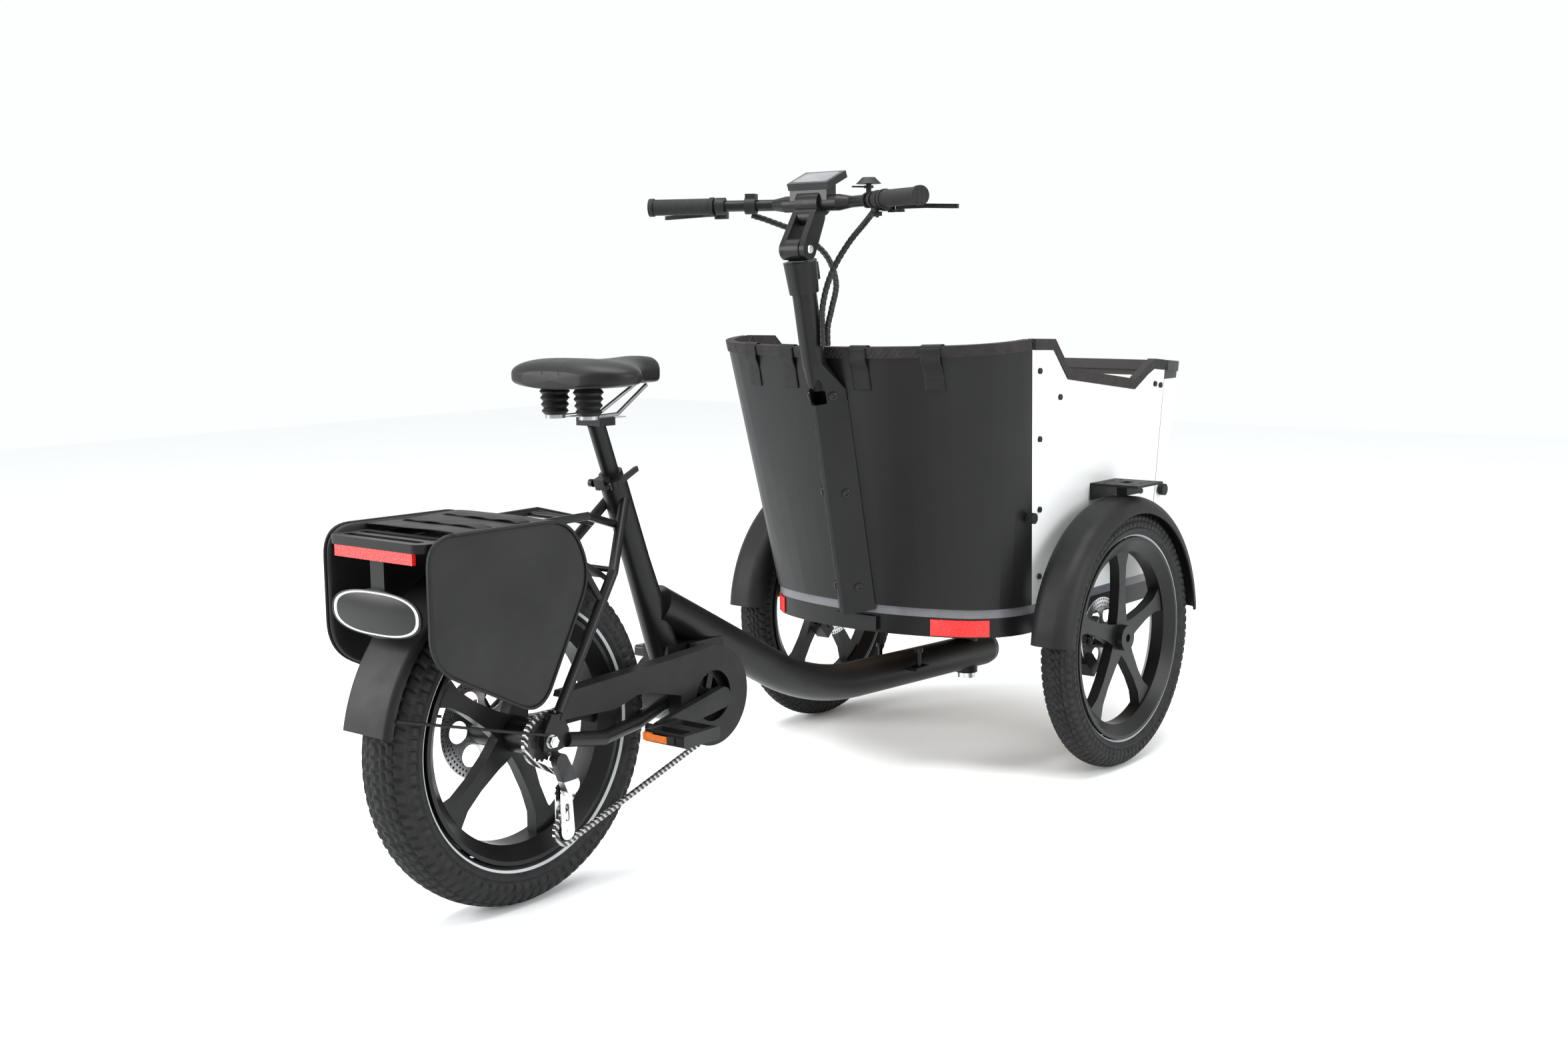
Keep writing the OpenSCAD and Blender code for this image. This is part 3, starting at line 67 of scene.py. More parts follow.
view_from = np.array([-2.689, -2.158, 1.017])
yaw, pitch, roll = math.radians(38.92), math.radians(-7.67), -0.011
ahead = np.array([math.cos(pitch) * math.cos(yaw), math.cos(pitch) * math.sin(yaw), math.sin(pitch)])
side = np.cross(ahead, [0, 0, 1])
side /= np.linalg.norm(side)
rise = np.cross(side, ahead)
side, rise = math.cos(roll) * side + math.sin(roll) * rise, math.cos(roll) * rise - math.sin(roll) * side
camera = bpy.data.objects.new("camera", bpy.data.cameras.new("camera"))
bpy.context.scene.collection.objects.link(camera)
camera.data.sensor_width = 36
camera.data.lens = 40.96
camera.data.clip_end = 60
turned = np.eye(4)
turned[:3, 0], turned[:3, 1], turned[:3, 2], turned[:3, 3] = side, rise, -ahead, view_from
camera.matrix_world = Matrix(turned.tolist())
bpy.context.scene.camera = camera


def lamp(name, place, target, width, height, watts):
    """Rectangular soft lamp at place, facing target."""
    data = bpy.data.lights.new(name, "AREA")
    data.shape, data.size, data.size_y, data.energy = "RECTANGLE", width, height, watts
    obj = bpy.data.objects.new(name, data)
    bpy.context.scene.collection.objects.link(obj)
    obj.location = place
    obj.rotation_euler = (Vector(target) - Vector(place)).to_track_quat("-Z", "Y").to_euler()


lamp("lamp_top", (-0.5, -0.2, 3.4), (0, 0, 0.4), 3.6, 2.2, 190)
lamp("lamp_left", (-3.2, 2.8, 1.9), (0.1, 0, 0.5), 1.6, 2.6, 150)
lamp("lamp_right", (0.6, -4.0, 1.8), (0.2, 0, 0.5), 2.4, 1.8, 90)
world = bpy.data.worlds.new("studio")
bpy.context.scene.world = world
world.use_nodes = True
world.node_tree.nodes["Background"].inputs["Color"].default_value = (0.985, 0.995, 1.0, 1)
world.node_tree.nodes["Background"].inputs["Strength"].default_value = 1.0
bpy.context.scene.view_settings.view_transform = "Standard"


# ---- Floor ----
# A pale seamless floor that isn't part of the bicycle. Like every made piece it is a grid of points with a
# shader that has its own grain, so both are made here first.


def placed(name, mesh, rides):
    """A mesh as an object with merged doubles, outward faces and smooth shading, riding on a body if named."""
    shell = bmesh.new()
    shell.from_mesh(mesh)
    bmesh.ops.remove_doubles(shell, verts=shell.verts, dist=1e-6)
    bmesh.ops.recalc_face_normals(shell, faces=shell.faces)
    shell.to_mesh(mesh)
    shell.free()
    mesh.shade_smooth()
    obj = bpy.data.objects.new(name, mesh)
    bpy.context.scene.collection.objects.link(obj)
    if rides:
        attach(obj, rides)
    return obj


def skin(name, points, wrap_u=False, wrap_v=False, cap_u=False, size=(1.0, 1.0), rides="frame"):
    """Surface through a grid of points[u, v]: quads between neighbours, closed round where wrapped, and fanned
    shut at the first and last u where capped. The UV map runs over size, in metres."""
    nu, nv = points.shape[:2]
    iu = np.arange(nu if wrap_u else nu - 1)
    iv = np.arange(nv if wrap_v else nv - 1)
    a, b = np.meshgrid(iu, iv, indexing="ij")
    a2, b2 = (a + 1) % nu, (b + 1) % nv
    quads = np.stack([a * nv + b, a2 * nv + b, a2 * nv + b2, a * nv + b2], -1).reshape(-1, 4)
    verts = points.reshape(-1, 3)
    faces = quads.tolist()
    if cap_u:
        verts = np.vstack([verts, points[0].mean(0), points[-1].mean(0)])
        ring = np.arange(nv)
        first, last = nu * nv, nu * nv + 1
        faces += [[first, int(k), int((k + 1) % nv)] for k in ring]
        faces += [[last, int((nu - 1) * nv + (k + 1) % nv), int((nu - 1) * nv + k)] for k in ring]
    mesh = bpy.data.meshes.new(name)
    mesh.from_pydata(verts.tolist(), [], faces)
    uv = mesh.uv_layers.new(name="cloth")
    u = np.stack([a, a + 1, a + 1, a], -1).reshape(-1) / max(nu - 1, 1) * size[0]
    v = np.stack([b, b, b + 1, b + 1], -1).reshape(-1) / max(nv - 1, 1) * size[1]
    flat = np.zeros(len(mesh.loops) * 2, np.float32)
    flat[0:2 * len(u):2], flat[1:2 * len(v):2] = u, v
    uv.data.foreach_set("uv", flat)
    return placed(name, mesh, rides)


class Finish:
    """A Principled shader whose colour, roughness and bump are driven by textures on Object coordinates."""

    def __init__(self, name, colour, rough, metal=0.0, coords="Object"):
        self.made = bpy.data.materials.new(name)
        self.made.use_nodes = True
        self.tree = self.made.node_tree
        self.shader = self.tree.nodes["Principled BSDF"]
        self.shader.inputs["Base Color"].default_value = (*colour, 1)
        self.shader.inputs["Roughness"].default_value = rough
        self.shader.inputs["Metallic"].default_value = metal
        self.shader.inputs["Specular IOR Level"].default_value = 0.2 if max(colour) < 0.1 else 0.45
        self.where = self.node("ShaderNodeTexCoord").outputs[coords]
        self.colour, self.rough = colour, rough

    def node(self, kind, **settings):
        made = self.tree.nodes.new(kind)
        for key, value in settings.items():
            if key in made.inputs:
                made.inputs[key].default_value = value
            else:
                setattr(made, key, value)
        return made

    def link(self, a, b):
        self.tree.links.new(a, b)

    def noise(self, scale, detail=3.0, stretch=None):
        source = self.where
        if stretch is not None:
            mapping = self.node("ShaderNodeMapping")
            mapping.inputs["Scale"].default_value = stretch
            self.link(source, mapping.inputs["Vector"])
            source = mapping.outputs["Vector"]
        made = self.node("ShaderNodeTexNoise", Scale=scale, Detail=detail)
        self.link(source, made.inputs["Vector"])
        return made.outputs["Fac"]

    def vary(self, scale, dark, light, detail=3.0, stretch=None):
        """Colour runs between dark and light shares of the base colour with the grain."""
        ramp = self.node("ShaderNodeValToRGB")
        ramp.color_ramp.elements[0].position, ramp.color_ramp.elements[1].position = 0.3, 0.7
        ramp.color_ramp.elements[0].color = (*[c * dark for c in self.colour], 1)
        ramp.color_ramp.elements[1].color = (*[min(1, c * light) for c in self.colour], 1)
        self.link(self.noise(scale, detail, stretch), ramp.inputs["Fac"])
        self.link(ramp.outputs["Color"], self.shader.inputs["Base Color"])
        return self

    def roughen(self, scale, low, high, stretch=None):
        """Roughness runs from low to high with the grain."""
        span = self.node("ShaderNodeMapRange")
        span.inputs["To Min"].default_value, span.inputs["To Max"].default_value = low, high
        self.link(self.noise(scale, 4.0, stretch), span.inputs["Value"])
        self.link(span.outputs["Result"], self.shader.inputs["Roughness"])
        return self

    def bump(self, height, distance, strength=1.0):
        """Height texture of the given depth in metres, on top of any bump that is already there."""
        made = self.node("ShaderNodeBump", Distance=distance, Strength=strength)
        self.link(height, made.inputs["Height"])
        if self.shader.inputs["Normal"].is_linked:
            self.link(self.shader.inputs["Normal"].links[0].from_socket, made.inputs["Normal"])
        self.link(made.outputs["Normal"], self.shader.inputs["Normal"])
        return self

    def grain(self, scale, distance, strength=1.0, stretch=None):
        return self.bump(self.noise(scale, 2.0, stretch), distance, strength)

    def tint(self, mask, colour, rough=None, metal=None):
        """Where mask is 1 the surface takes another colour, and another roughness and metalness if given."""
        for socket, value in (("Base Color", (*colour, 1)), ("Roughness", rough), ("Metallic", metal)):
            if value is None:
                continue
            target = self.shader.inputs[socket]
            kind = "RGBA" if socket == "Base Color" else "FLOAT"
            mix = self.node("ShaderNodeMix", data_type=kind)
            form = "RGBA" if kind == "RGBA" else "VALUE"
            a, b = [s for s in mix.inputs if s.type == form and s.name in "AB"][:2]
            if target.is_linked:
                self.link(target.links[0].from_socket, a)
            else:
                a.default_value = target.default_value
            b.default_value = value
            self.link(mask, mix.inputs["Factor"])
            self.link([s for s in mix.outputs if s.type == form][0], target)
        return self

    def math(self, operation, a, b=None):
        made = self.node("ShaderNodeMath", operation=operation)
        for k, value in enumerate((a, b)):
            if value is None:
                continue
            if isinstance(value, (int, float)):
                made.inputs[k].default_value = value
            else:
                self.link(value, made.inputs[k])
        return made.outputs[0]

    def band(self, value, low, high, soft=0.0004):
        """1 where value lies between low and high, with soft edges."""
        inside = None
        for edge, sign in ((low, 1), (high, -1)):
            span = self.node("ShaderNodeMapRange", interpolation_type="SMOOTHSTEP")
            span.inputs["From Min"].default_value = edge - soft * sign
            span.inputs["From Max"].default_value = edge + soft * sign
            self.link(value, span.inputs["Value"])
            share = span.outputs["Result"]
            inside = share if inside is None else self.math("MULTIPLY", inside, share)
        return inside

    def axes(self):
        split = self.node("ShaderNodeSeparateXYZ")
        self.link(self.where, split.inputs[0])
        return split.outputs

    def radius(self, centre):
        """Distance from the line along Y through centre."""
        x, _, z = self.axes()
        dx, dz = self.math("SUBTRACT", x, float(centre[0])), self.math("SUBTRACT", z, float(centre[2]))
        return self.math("SQRT", self.math("ADD", self.math("MULTIPLY", dx, dx), self.math("MULTIPLY", dz, dz)))


def wear(name, material):
    """Gives a CAD node, or a made piece, its material."""
    obj = nodes[name] if isinstance(name, str) else name
    if obj.data.materials:
        for k in range(len(obj.data.materials)):
            obj.data.materials[k] = material
    else:
        obj.data.materials.append(material)
    return obj


floor_half, floor_z = 9.0, -0.0005
floor = skin("floor", np.array([[[x, y, floor_z] for y in (-floor_half, floor_half)]
                               for x in (-floor_half, floor_half)], float), rides=None)
pale = Finish("floor_pale", (0.93, 0.945, 0.95), 0.7).vary(3.0, 0.985, 1.0)
wear(floor, pale.made)

# ---- Painted steel frame ----
# Steel tubes under a satin black powder coat: seat tube, main tube, stays, rack, rails and mast.

powder = Finish("black_powder_coat", (0.005, 0.005, 0.0054), 0.34).vary(9, 0.8, 1.35).roughen(14, 0.28, 0.42)
powder.grain(900, 0.00012, 0.35)
for name in ("seat_tube", "main_tube", "chain_stays", "seat_stays", "rack", "seat_post", "subframe", "rail_ring",
             "mast"):
    wear(name, powder.made)

# ---- Cast and forged alloy ----
# Satin black motor, cranks, bars, levers and brake calipers.

alloy = Finish("black_alloy", (0.008, 0.008, 0.0085), 0.3, 0.25).vary(30, 0.75, 1.4).roughen(40, 0.24, 0.42)
alloy.grain(1400, 0.00008, 0.4)
for name in ("motor_unit", "crankset", "rear_caliper", "front_calipers", "stem_riser", "handlebar", "seat_lever",
             "brake_lever_left", "brake_lever_right"):
    wear(name, alloy.made)

# ---- Cast wheels ----
# Five-spoke wheels painted satin black, with bare steel brake discs that are told apart by their place.


def wheel_finish(name, pivot, disc_y, disc_r, hub_r):
    """Black paint, and brushed steel where the surface lies in the disc's thin slab outside the hub."""
    made = Finish(name, (0.005, 0.005, 0.0053), 0.32).vary(12, 0.8, 1.4).roughen(25, 0.28, 0.42)
    made.grain(1100, 0.0001, 0.35)
    radius = made.radius(pivot)
    slab = made.band(made.axes()[1], disc_y - 0.0014, disc_y + 0.0014, 0.0002)
    ring = made.band(radius, hub_r, disc_r + 0.004)
    disc = made.math("MULTIPLY", slab, ring)
    made.tint(disc, (0.56, 0.56, 0.57), 0.26, 1.0)
    x, _, z = made.axes()
    from_x, from_z = made.math("SUBTRACT", x, float(pivot[0])), made.math("SUBTRACT", z, float(pivot[2]))
    angle = made.math("ARCTAN2", from_z, from_x)
    lane = made.math("MULTIPLY", made.math("SUBTRACT", radius, float(disc_r)), 125.0)
    shift = made.math("MULTIPLY", made.math("FLOOR", lane), 0.37)
    step = made.math("ADD", made.math("MULTIPLY", angle, 30 / math.pi), shift)
    over = made.math("SUBTRACT", made.math("FRACT", step), 0.5)
    up = made.math("SUBTRACT", made.math("FRACT", lane), 0.5)
    spot = made.math("ADD", made.math("MULTIPLY", over, over), made.math("MULTIPLY", up, up))
    friction = made.band(radius, disc_r - 0.024, disc_r - 0.001)
    holes = made.math("MULTIPLY", made.band(spot, -1.0, 0.07, 0.02), friction)
    made.tint(made.math("MULTIPLY", disc, holes), (0.004, 0.004, 0.004), 0.8, 0.0)
    return made.made


axle = pivots["rear_wheel_spin"]
left_hub, right_hub = pivots["wheel_left_spin"], pivots["wheel_right_spin"]
wear("rear_rim", wheel_finish("rear_wheel_cast", axle, axle[1] + 0.072, 0.090, 0.0305))
wear("front_rim_left", wheel_finish("left_wheel_cast", left_hub, left_hub[1] - 0.039, 0.080, 0.0275))
wear("front_rim_right", wheel_finish("right_wheel_cast", right_hub, right_hub[1] + 0.039, 0.080, 0.0275))

# ---- Tyres ----
# Fat rubber tyres with slanted tread blocks and a reflective line near the rim. The section is a flattened
# ring; the tread's height is added along the section's normal.


def sharpen(obj, degrees=35):
    """Edges steeper than degrees stay crisp under smooth shading."""
    obj.data.set_sharp_from_angle(angle=math.radians(degrees))
    return obj


def tyre(name, node, hub, blocks, stripe_r, rides):
    """Grid of wheel angle by section angle. Blocks: three rows each side of the middle, each row a saw of
    slanted cells whose edges fall away over a groove's width."""
    low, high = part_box(node)
    outer, width, bead = (high.z - low.z) / 2, high.y - low.y, 0.203
    round_r = (outer - bead) / 2
    spread = width / 2 - round_r
    depth = 0.0032
    turn = np.linspace(0, 2 * math.pi, 900, endpoint=False)[:, None]
    around = np.concatenate([np.linspace(-0.80, 0.80, 72), np.linspace(0.80, -0.80, 14)])[None, :] * math.pi
    wall = np.concatenate([np.zeros(72), np.full(14, 0.006)])[None, :]
    shelf = np.clip(np.sin(around) * 2.2, -1, 1) * spread
    reach = round_r - wall - depth
    lateral = np.sin(around) * round_r + shelf
    across = lateral / (width / 2)
    row = np.floor(np.abs(across) * 4.2)
    cell = turn / (2 * math.pi) * blocks + np.abs(across) * 1.3 + 0.5 * (row % 2)
    cell = cell + 0.5 * (across > 0)
    fore = np.abs((cell % 1) - 0.5) * 2
    aside = np.abs(((np.abs(across) * 4.2) % 1) - 0.5) * 2
    edge = np.minimum(np.clip((0.80 - fore) / 0.16, 0, 1), np.clip((0.86 - aside) / 0.14, 0, 1))
    tread = np.clip((math.pi * 0.56 - np.abs(around)) / 0.2, 0, 1) * (wall == 0)
    height = depth * edge * tread + 0.0006 * (np.abs(np.abs(around) - math.pi * 0.62) < 0.03) * (wall == 0)
    section_r = bead + round_r + np.cos(around) * (reach + height)
    section_y = np.sin(around) * (reach + depth * (tread == 0) * 0.9 + height) + shelf
    points = np.stack([hub[0] + section_r * np.sin(turn), hub[1] + section_y + 0 * turn,
                       hub[2] + section_r * np.cos(turn)], -1)
    piece = skin(name, points, wrap_u=True, wrap_v=True, rides=rides)
    sharpen(piece, 50)
    rubber = Finish(name + "_rubber", (0.009, 0.009, 0.0094), 0.6).vary(60, 0.7, 1.5).roughen(80, 0.5, 0.75)
    rubber.grain(2200, 0.00015, 0.5)
    rubber.tint(rubber.band(rubber.radius(hub), stripe_r - 0.002, stripe_r + 0.002), (0.42, 0.43, 0.44), 0.35)
    wear(piece, rubber.made)
    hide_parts(node)
    return piece


tyre("tyre_rear", "rear_tyre", axle, 84, 0.2215, "rear_wheel")
tyre("tyre_left", "front_tyre_left", left_hub, 92, 0.2155, "wheel_left")
tyre("tyre_right", "front_tyre_right", right_hub, 92, 0.2155, "wheel_right")

# ---- Box panels ----
# The black rear wall is one bent sheet, and the sides and the door are white. The door carries its own length
# of black rim.

black_sheet = Finish("black_panel", (0.006, 0.006, 0.0064), 0.36).vary(6, 0.88, 1.15).roughen(9, 0.34, 0.46)
wear("rear_wall", black_sheet.grain(700, 0.0001, 0.3).made)
white_sheet = Finish("white_panel", (0.60, 0.61, 0.61), 0.3).vary(5, 0.985, 1.0).roughen(9, 0.26, 0.36)
wear("side_panels", white_sheet.grain(600, 0.00006, 0.3).made)
door_sheet = Finish("white_door", (0.60, 0.61, 0.61), 0.3).vary(5, 0.985, 1.0).roughen(9, 0.26, 0.36)
door_sheet.tint(door_sheet.band(door_sheet.axes()[2], 0.798, 0.9), (0.02, 0.019, 0.019), 0.6)
wear("front_door", door_sheet.made)

# ---- Rim trim ----
# A dark rubber edging with a fine diamond knurl: two crossed waves along the rim and up it.

edging = Finish("rim_rubber", (0.014, 0.012, 0.012), 0.6).vary(50, 0.8, 1.3).roughen(60, 0.5, 0.72)
x, y, z = edging.axes()
run = edging.math("ADD", x, y)
for sign in (1, -1):
    phase = edging.math("ADD", edging.math("MULTIPLY", run, 620.0), edging.math("MULTIPLY", z, 620.0 * sign))
    edging.bump(edging.math("SINE", phase), 0.0006, 0.5)
wear("rim_trim", edging.made)

# ---- Smaller plastics, steels and screws ----
# Each CAD part below keeps its shape and takes a finish of its own kind.

matte = Finish("matte_black_plastic", (0.007, 0.007, 0.0074), 0.46).vary(20, 0.8, 1.3).roughen(30, 0.42, 0.6)
matte.grain(800, 0.00015, 0.5)
gloss = Finish("gloss_black_plastic", (0.012, 0.012, 0.0125), 0.2).vary(20, 0.85, 1.2).roughen(25, 0.16, 0.28)
gloss.grain(1500, 0.00005, 0.3)
zinc = Finish("bright_steel", (0.55, 0.55, 0.56), 0.28, 1.0).vary(60, 0.9, 1.05).roughen(120, 0.2, 0.36)
links = Finish("chain_steel", (0.46, 0.46, 0.45), 0.3, 1.0).vary(90, 0.8, 1.1).roughen(200, 0.22, 0.42)
x, y, z = links.axes()
pitch_wave = links.math("SINE", links.math("MULTIPLY", links.math("ADD", x, z), 2 * math.pi / 0.0127))
links.bump(pitch_wave, 0.0015, 0.9)
links.tint(links.band(pitch_wave, -1.1, -0.55, 0.1), (0.05, 0.05, 0.05), 0.5)
for name in ("rear_fender", "front_fenders", "chain_case", "fender_steps", "box_fasteners", "latch_knob",
             "bar_controls", "shift_lever", "bell_striker"):
    wear(name, matte.made)
for name in ("display", "pedal_left", "pedal_right", "pulley_upper", "pulley_lower"):
    wear(name, gloss.made)
for name in ("rear_axle", "kingpin"):
    wear(name, zinc.made)
wear("chain", links.made)
cogs = Finish("cassette_steel", (0.06, 0.06, 0.06), 0.34, 0.8).vary(60, 0.8, 1.2).roughen(90, 0.26, 0.44)
wear("cassette", cogs.made)
rail_metal = Finish("saddle_rail_steel", (0.35, 0.35, 0.36), 0.3, 1.0).vary(60, 0.85, 1.1).roughen(90, 0.24, 0.4)
wear("saddle_rails", rail_metal.made)
changer = Finish("derailleur_alloy", (0.02, 0.02, 0.021), 0.35, 0.3).vary(60, 0.8, 1.3).roughen(90, 0.28, 0.42)
changer.tint(changer.band(changer.axes()[2], 0.0, 0.214), (0.58, 0.58, 0.59), 0.24, 1.0)
wear("derailleur", changer.made)
strip = Finish("grey_strip", (0.10, 0.10, 0.108), 0.3).vary(40, 0.9, 1.1).roughen(40, 0.24, 0.4)
wear("base_strip", strip.made)
ply = Finish("birch_ply", (0.45, 0.31, 0.18), 0.5).vary(30, 0.75, 1.1, stretch=(1, 8, 8)).roughen(40, 0.42, 0.6)
for name in ("bench", "box_floor"):
    wear(name, ply.made)
wear("battery", matte.made)

# ---- Reflectors ----
# Red plastic with a grid of small prisms under its face, and a weak painted glow that stands in for the light it
# sends back.

red = Finish("red_reflector", (0.62, 0.012, 0.01), 0.14).vary(400, 0.75, 1.25)
x, y, z = red.axes()
wave_y, wave_z = (red.math("SINE", red.math("MULTIPLY", axis, 1500.0)) for axis in (y, z))
grid = red.math("MULTIPLY", wave_y, wave_z)
red.bump(grid, 0.0006, 0.8)
# Painted glow: a weak red emission stands in for light the reflector sends back, though it is no lamp.
red.shader.inputs["Emission Color"].default_value = (0.5, 0.005, 0.004, 1)
red.shader.inputs["Emission Strength"].default_value = 0.25
for name in ("reflectors", "tail_reflector"):
    wear(name, red.made)


def small_box(name, low, high, material, rides):
    """A slab with edges rounded by a fifth of its thinnest side."""
    low, high = np.array(low, float), np.array(high, float)
    shell = bmesh.new()
    bmesh.ops.create_cube(shell, size=1)
    mesh = bpy.data.meshes.new(name)
    for v in shell.verts:
        v.co = Vector((low + high) / 2) + Vector(np.array(v.co) * (high - low))
    bmesh.ops.bevel(shell, geom=shell.edges[:], offset=float((high - low).min()) / 5, segments=2, affect="EDGES")
    shell.to_mesh(mesh)
    shell.free()
    return sharpen(wear(placed(name, mesh, rides), material))


orange = Finish("orange_reflector", (0.75, 0.16, 0.01), 0.2).vary(300, 0.8, 1.1).grain(900, 0.0004, 0.7)
for name, rides in (("pedal_right", "pedal_r"), ("pedal_left", "pedal_l")):
    low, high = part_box(name)
    middle = (low.y + high.y) / 2
    piece = small_box(name + "_reflector", (low.x - 0.001, middle - 0.028, low.z + 0.004),
                      (low.x + 0.004, middle + 0.028, high.z - 0.004), orange.made, rides)

# ---- Saddle ----
# A wide padded saddle, lofted nose to tail: half-width and height follow smooth curves, and each section is a
# soft arch over a flat base with a rolled lower edge.

low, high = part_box("saddle")
along = np.linspace(0, 1, 61)
place = low.x + (high.x - low.x) * (1 - np.cos(along * math.pi)) / 2
share = (place - low.x) / (high.x - low.x)
half = np.interp(share, [0, 0.02, 0.08, 0.2, 0.34, 0.5, 0.68, 0.85, 0.96, 1],
                 [0.064, 0.090, 0.120, 0.137, 0.132, 0.086, 0.046, 0.034, 0.026, 0.008])
half = np.convolve(np.pad(half, 3, mode="edge"), np.ones(7) / 7, mode="valid")
top = np.interp(share, [0, 0.05, 0.2, 0.4, 0.6, 0.8, 0.95, 1],
                [0.874, 0.889, 0.8965, 0.890, 0.890, 0.894, 0.890, 0.872])
top = np.convolve(np.pad(top, 3, mode="edge"), np.ones(7) / 7, mode="valid")
angle = np.linspace(0, 2 * math.pi, 64, endpoint=False)[None, :]
across = np.sign(np.cos(angle)) * np.abs(np.cos(angle)) ** 0.7
height = np.where(np.sin(angle) > 0, np.abs(np.sin(angle)) ** 0.85, -np.abs(np.sin(angle)) ** 0.45 * 0.55)
mid = 0.8665
points = np.stack([place[:, None] + 0 * angle, half[:, None] * across,
                   mid + np.where(height > 0, (top - mid)[:, None] * height, 0.038 * height)], -1)
saddle = skin("saddle_cover", points, wrap_v=True, cap_u=True, rides="post")
hide = Finish("saddle_hide", (0.006, 0.006, 0.006), 0.36).vary(30, 0.85, 1.25).roughen(60, 0.34, 0.5)
hide.grain(1800, 0.00015, 0.5)
x, y, z = hide.axes()
seam = hide.math("MULTIPLY", hide.band(hide.math("ABSOLUTE", y), 0.0185, 0.0205), hide.band(z, 0.87, 0.9))
hide.bump(hide.math("SUBTRACT", 1.0, seam), 0.0015, 0.8)
wear(saddle, hide.made)
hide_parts("saddle")
bellows_rubber = Finish("bellows_rubber", (0.008, 0.008, 0.008), 0.5).vary(70, 0.8, 1.3).roughen(60, 0.45, 0.65)
wear("saddle_bellows", bellows_rubber.made)

# ---- Cushions ----
# A seat pad and a back pad in dark upholstery, as rounded pillows with a crown in the middle. They are mostly
# hidden in the box, so their shape is a guess.


def pillow(name, low, high, thin, rides):
    """Closed pad between two corners: a superellipsoid grid whose thin axis bulges by a product of two arches."""
    low, high = np.array(low), np.array(high)
    u = np.linspace(-math.pi / 2, math.pi / 2, 40)[:, None]
    v = np.linspace(0, 2 * math.pi, 96, endpoint=False)[None, :]
    bend = lambda t, p: np.sign(t) * np.abs(t) ** p
    flat_a = bend(np.cos(u), 0.25) * bend(np.cos(v), 0.25)
    flat_b = bend(np.cos(u), 0.25) * bend(np.sin(v), 0.25)
    rise = bend(np.sin(u), 0.5) * (0.72 + 0.28 * (1 - flat_a**2) * (1 - flat_b**2))
    unit = [flat_a, flat_b]
    unit.insert(thin, rise + 0 * v)
    points = (low + high) / 2 + np.stack(unit, -1) * (high - low) / 2
    piece = skin(name, points, wrap_v=True, cap_u=True, rides=rides)
    return piece


weave = Finish("upholstery", (0.035, 0.035, 0.037), 0.85).vary(300, 0.7, 1.3).roughen(200, 0.75, 0.95)
weave.grain(2500, 0.0004, 0.8)
low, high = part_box("cushions")
seat_pad = pillow("seat_pad", (low.x + 0.106, low.y, 0.5725), (high.x, high.y, 0.6122), 2, "steer")
back_pad = pillow("back_pad", (0.203, -0.23, 0.622), (0.243, 0.23, 0.845), 0, "steer")
for pad in (seat_pad, back_pad):
    wear(pad, weave.made)
    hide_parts("cushions")

# ---- Panniers ----
# Two flat bags of coated fabric on the rack and a flap that joins them over the top. Each bag is a closed shell
# round its outline, with a slack belly and shallow folds, and a bound edge stands round it.

rear = pivots["rear_wheel_spin"][0]
corners = np.array([[-262, 650], [-262, 452], [-45, 342], [73, 556], [28, 647]]) / 1000 + [rear, 0]
random = np.random.default_rng(7)


def rounded(corners, radius, steps):
    """Closed outline with each corner turned by a quadratic curve that starts radius before it."""
    out = []
    for k in range(len(corners)):
        a, b, c = corners[k - 1], corners[k], corners[(k + 1) % len(corners)]
        start = b + (a - b) / np.linalg.norm(a - b) * radius
        end = b + (c - b) / np.linalg.norm(c - b) * radius
        t = np.linspace(0, 1, steps)[:, None]
        out.append((1 - t) ** 2 * start + 2 * t * (1 - t) * b + t**2 * end)
        span = np.linspace(0, 1, steps * 3 + 2)[1:-1, None]
        after = c + (b - c) / np.linalg.norm(b - c) * radius
        out.append(end + span * (after - end))
    return np.vstack(out)


def folds(a, b, count):
    """Shallow cloth folds: a few seeded waves of growing pitch, summed, from -1 to 1."""
    total = 0 * a
    for _ in range(count):
        pitch, turn, shift = random.uniform(12, 60), random.uniform(0, math.pi), random.uniform(0, 6)
        swerve = 2 * np.sin(9 * a + shift)
        total = total + np.sin(pitch * (a * math.cos(turn) + b * math.sin(turn)) + shift + swerve) / pitch
    return total / np.abs(total).max()


def tube(name, line, radius, sides=16, rides="frame"):
    """Round tube along a line, with radius a number or an array [point, side]; its rings are carried without
    twist by projecting the last ring's direction onto the next plane."""
    line = np.array(line, float)
    along = np.gradient(line, axis=0)
    along /= np.linalg.norm(along, axis=1)[:, None]
    up = np.zeros_like(line)
    last = np.cross(along[0], [0.13, 0.97, 0.2])
    for k, direction in enumerate(along):
        last = last - direction * (last @ direction)
        last = last / np.linalg.norm(last)
        up[k] = last
    across = np.cross(along, up)
    a = np.linspace(0, 2 * math.pi, sides, endpoint=False)
    ring = np.cos(a)[None, :, None] * up[:, None] + np.sin(a)[None, :, None] * across[:, None]
    radius = np.broadcast_to(radius, (len(line), sides))
    return skin(name, line[:, None] + ring * radius[..., None], wrap_v=True, cap_u=True, rides=rides)


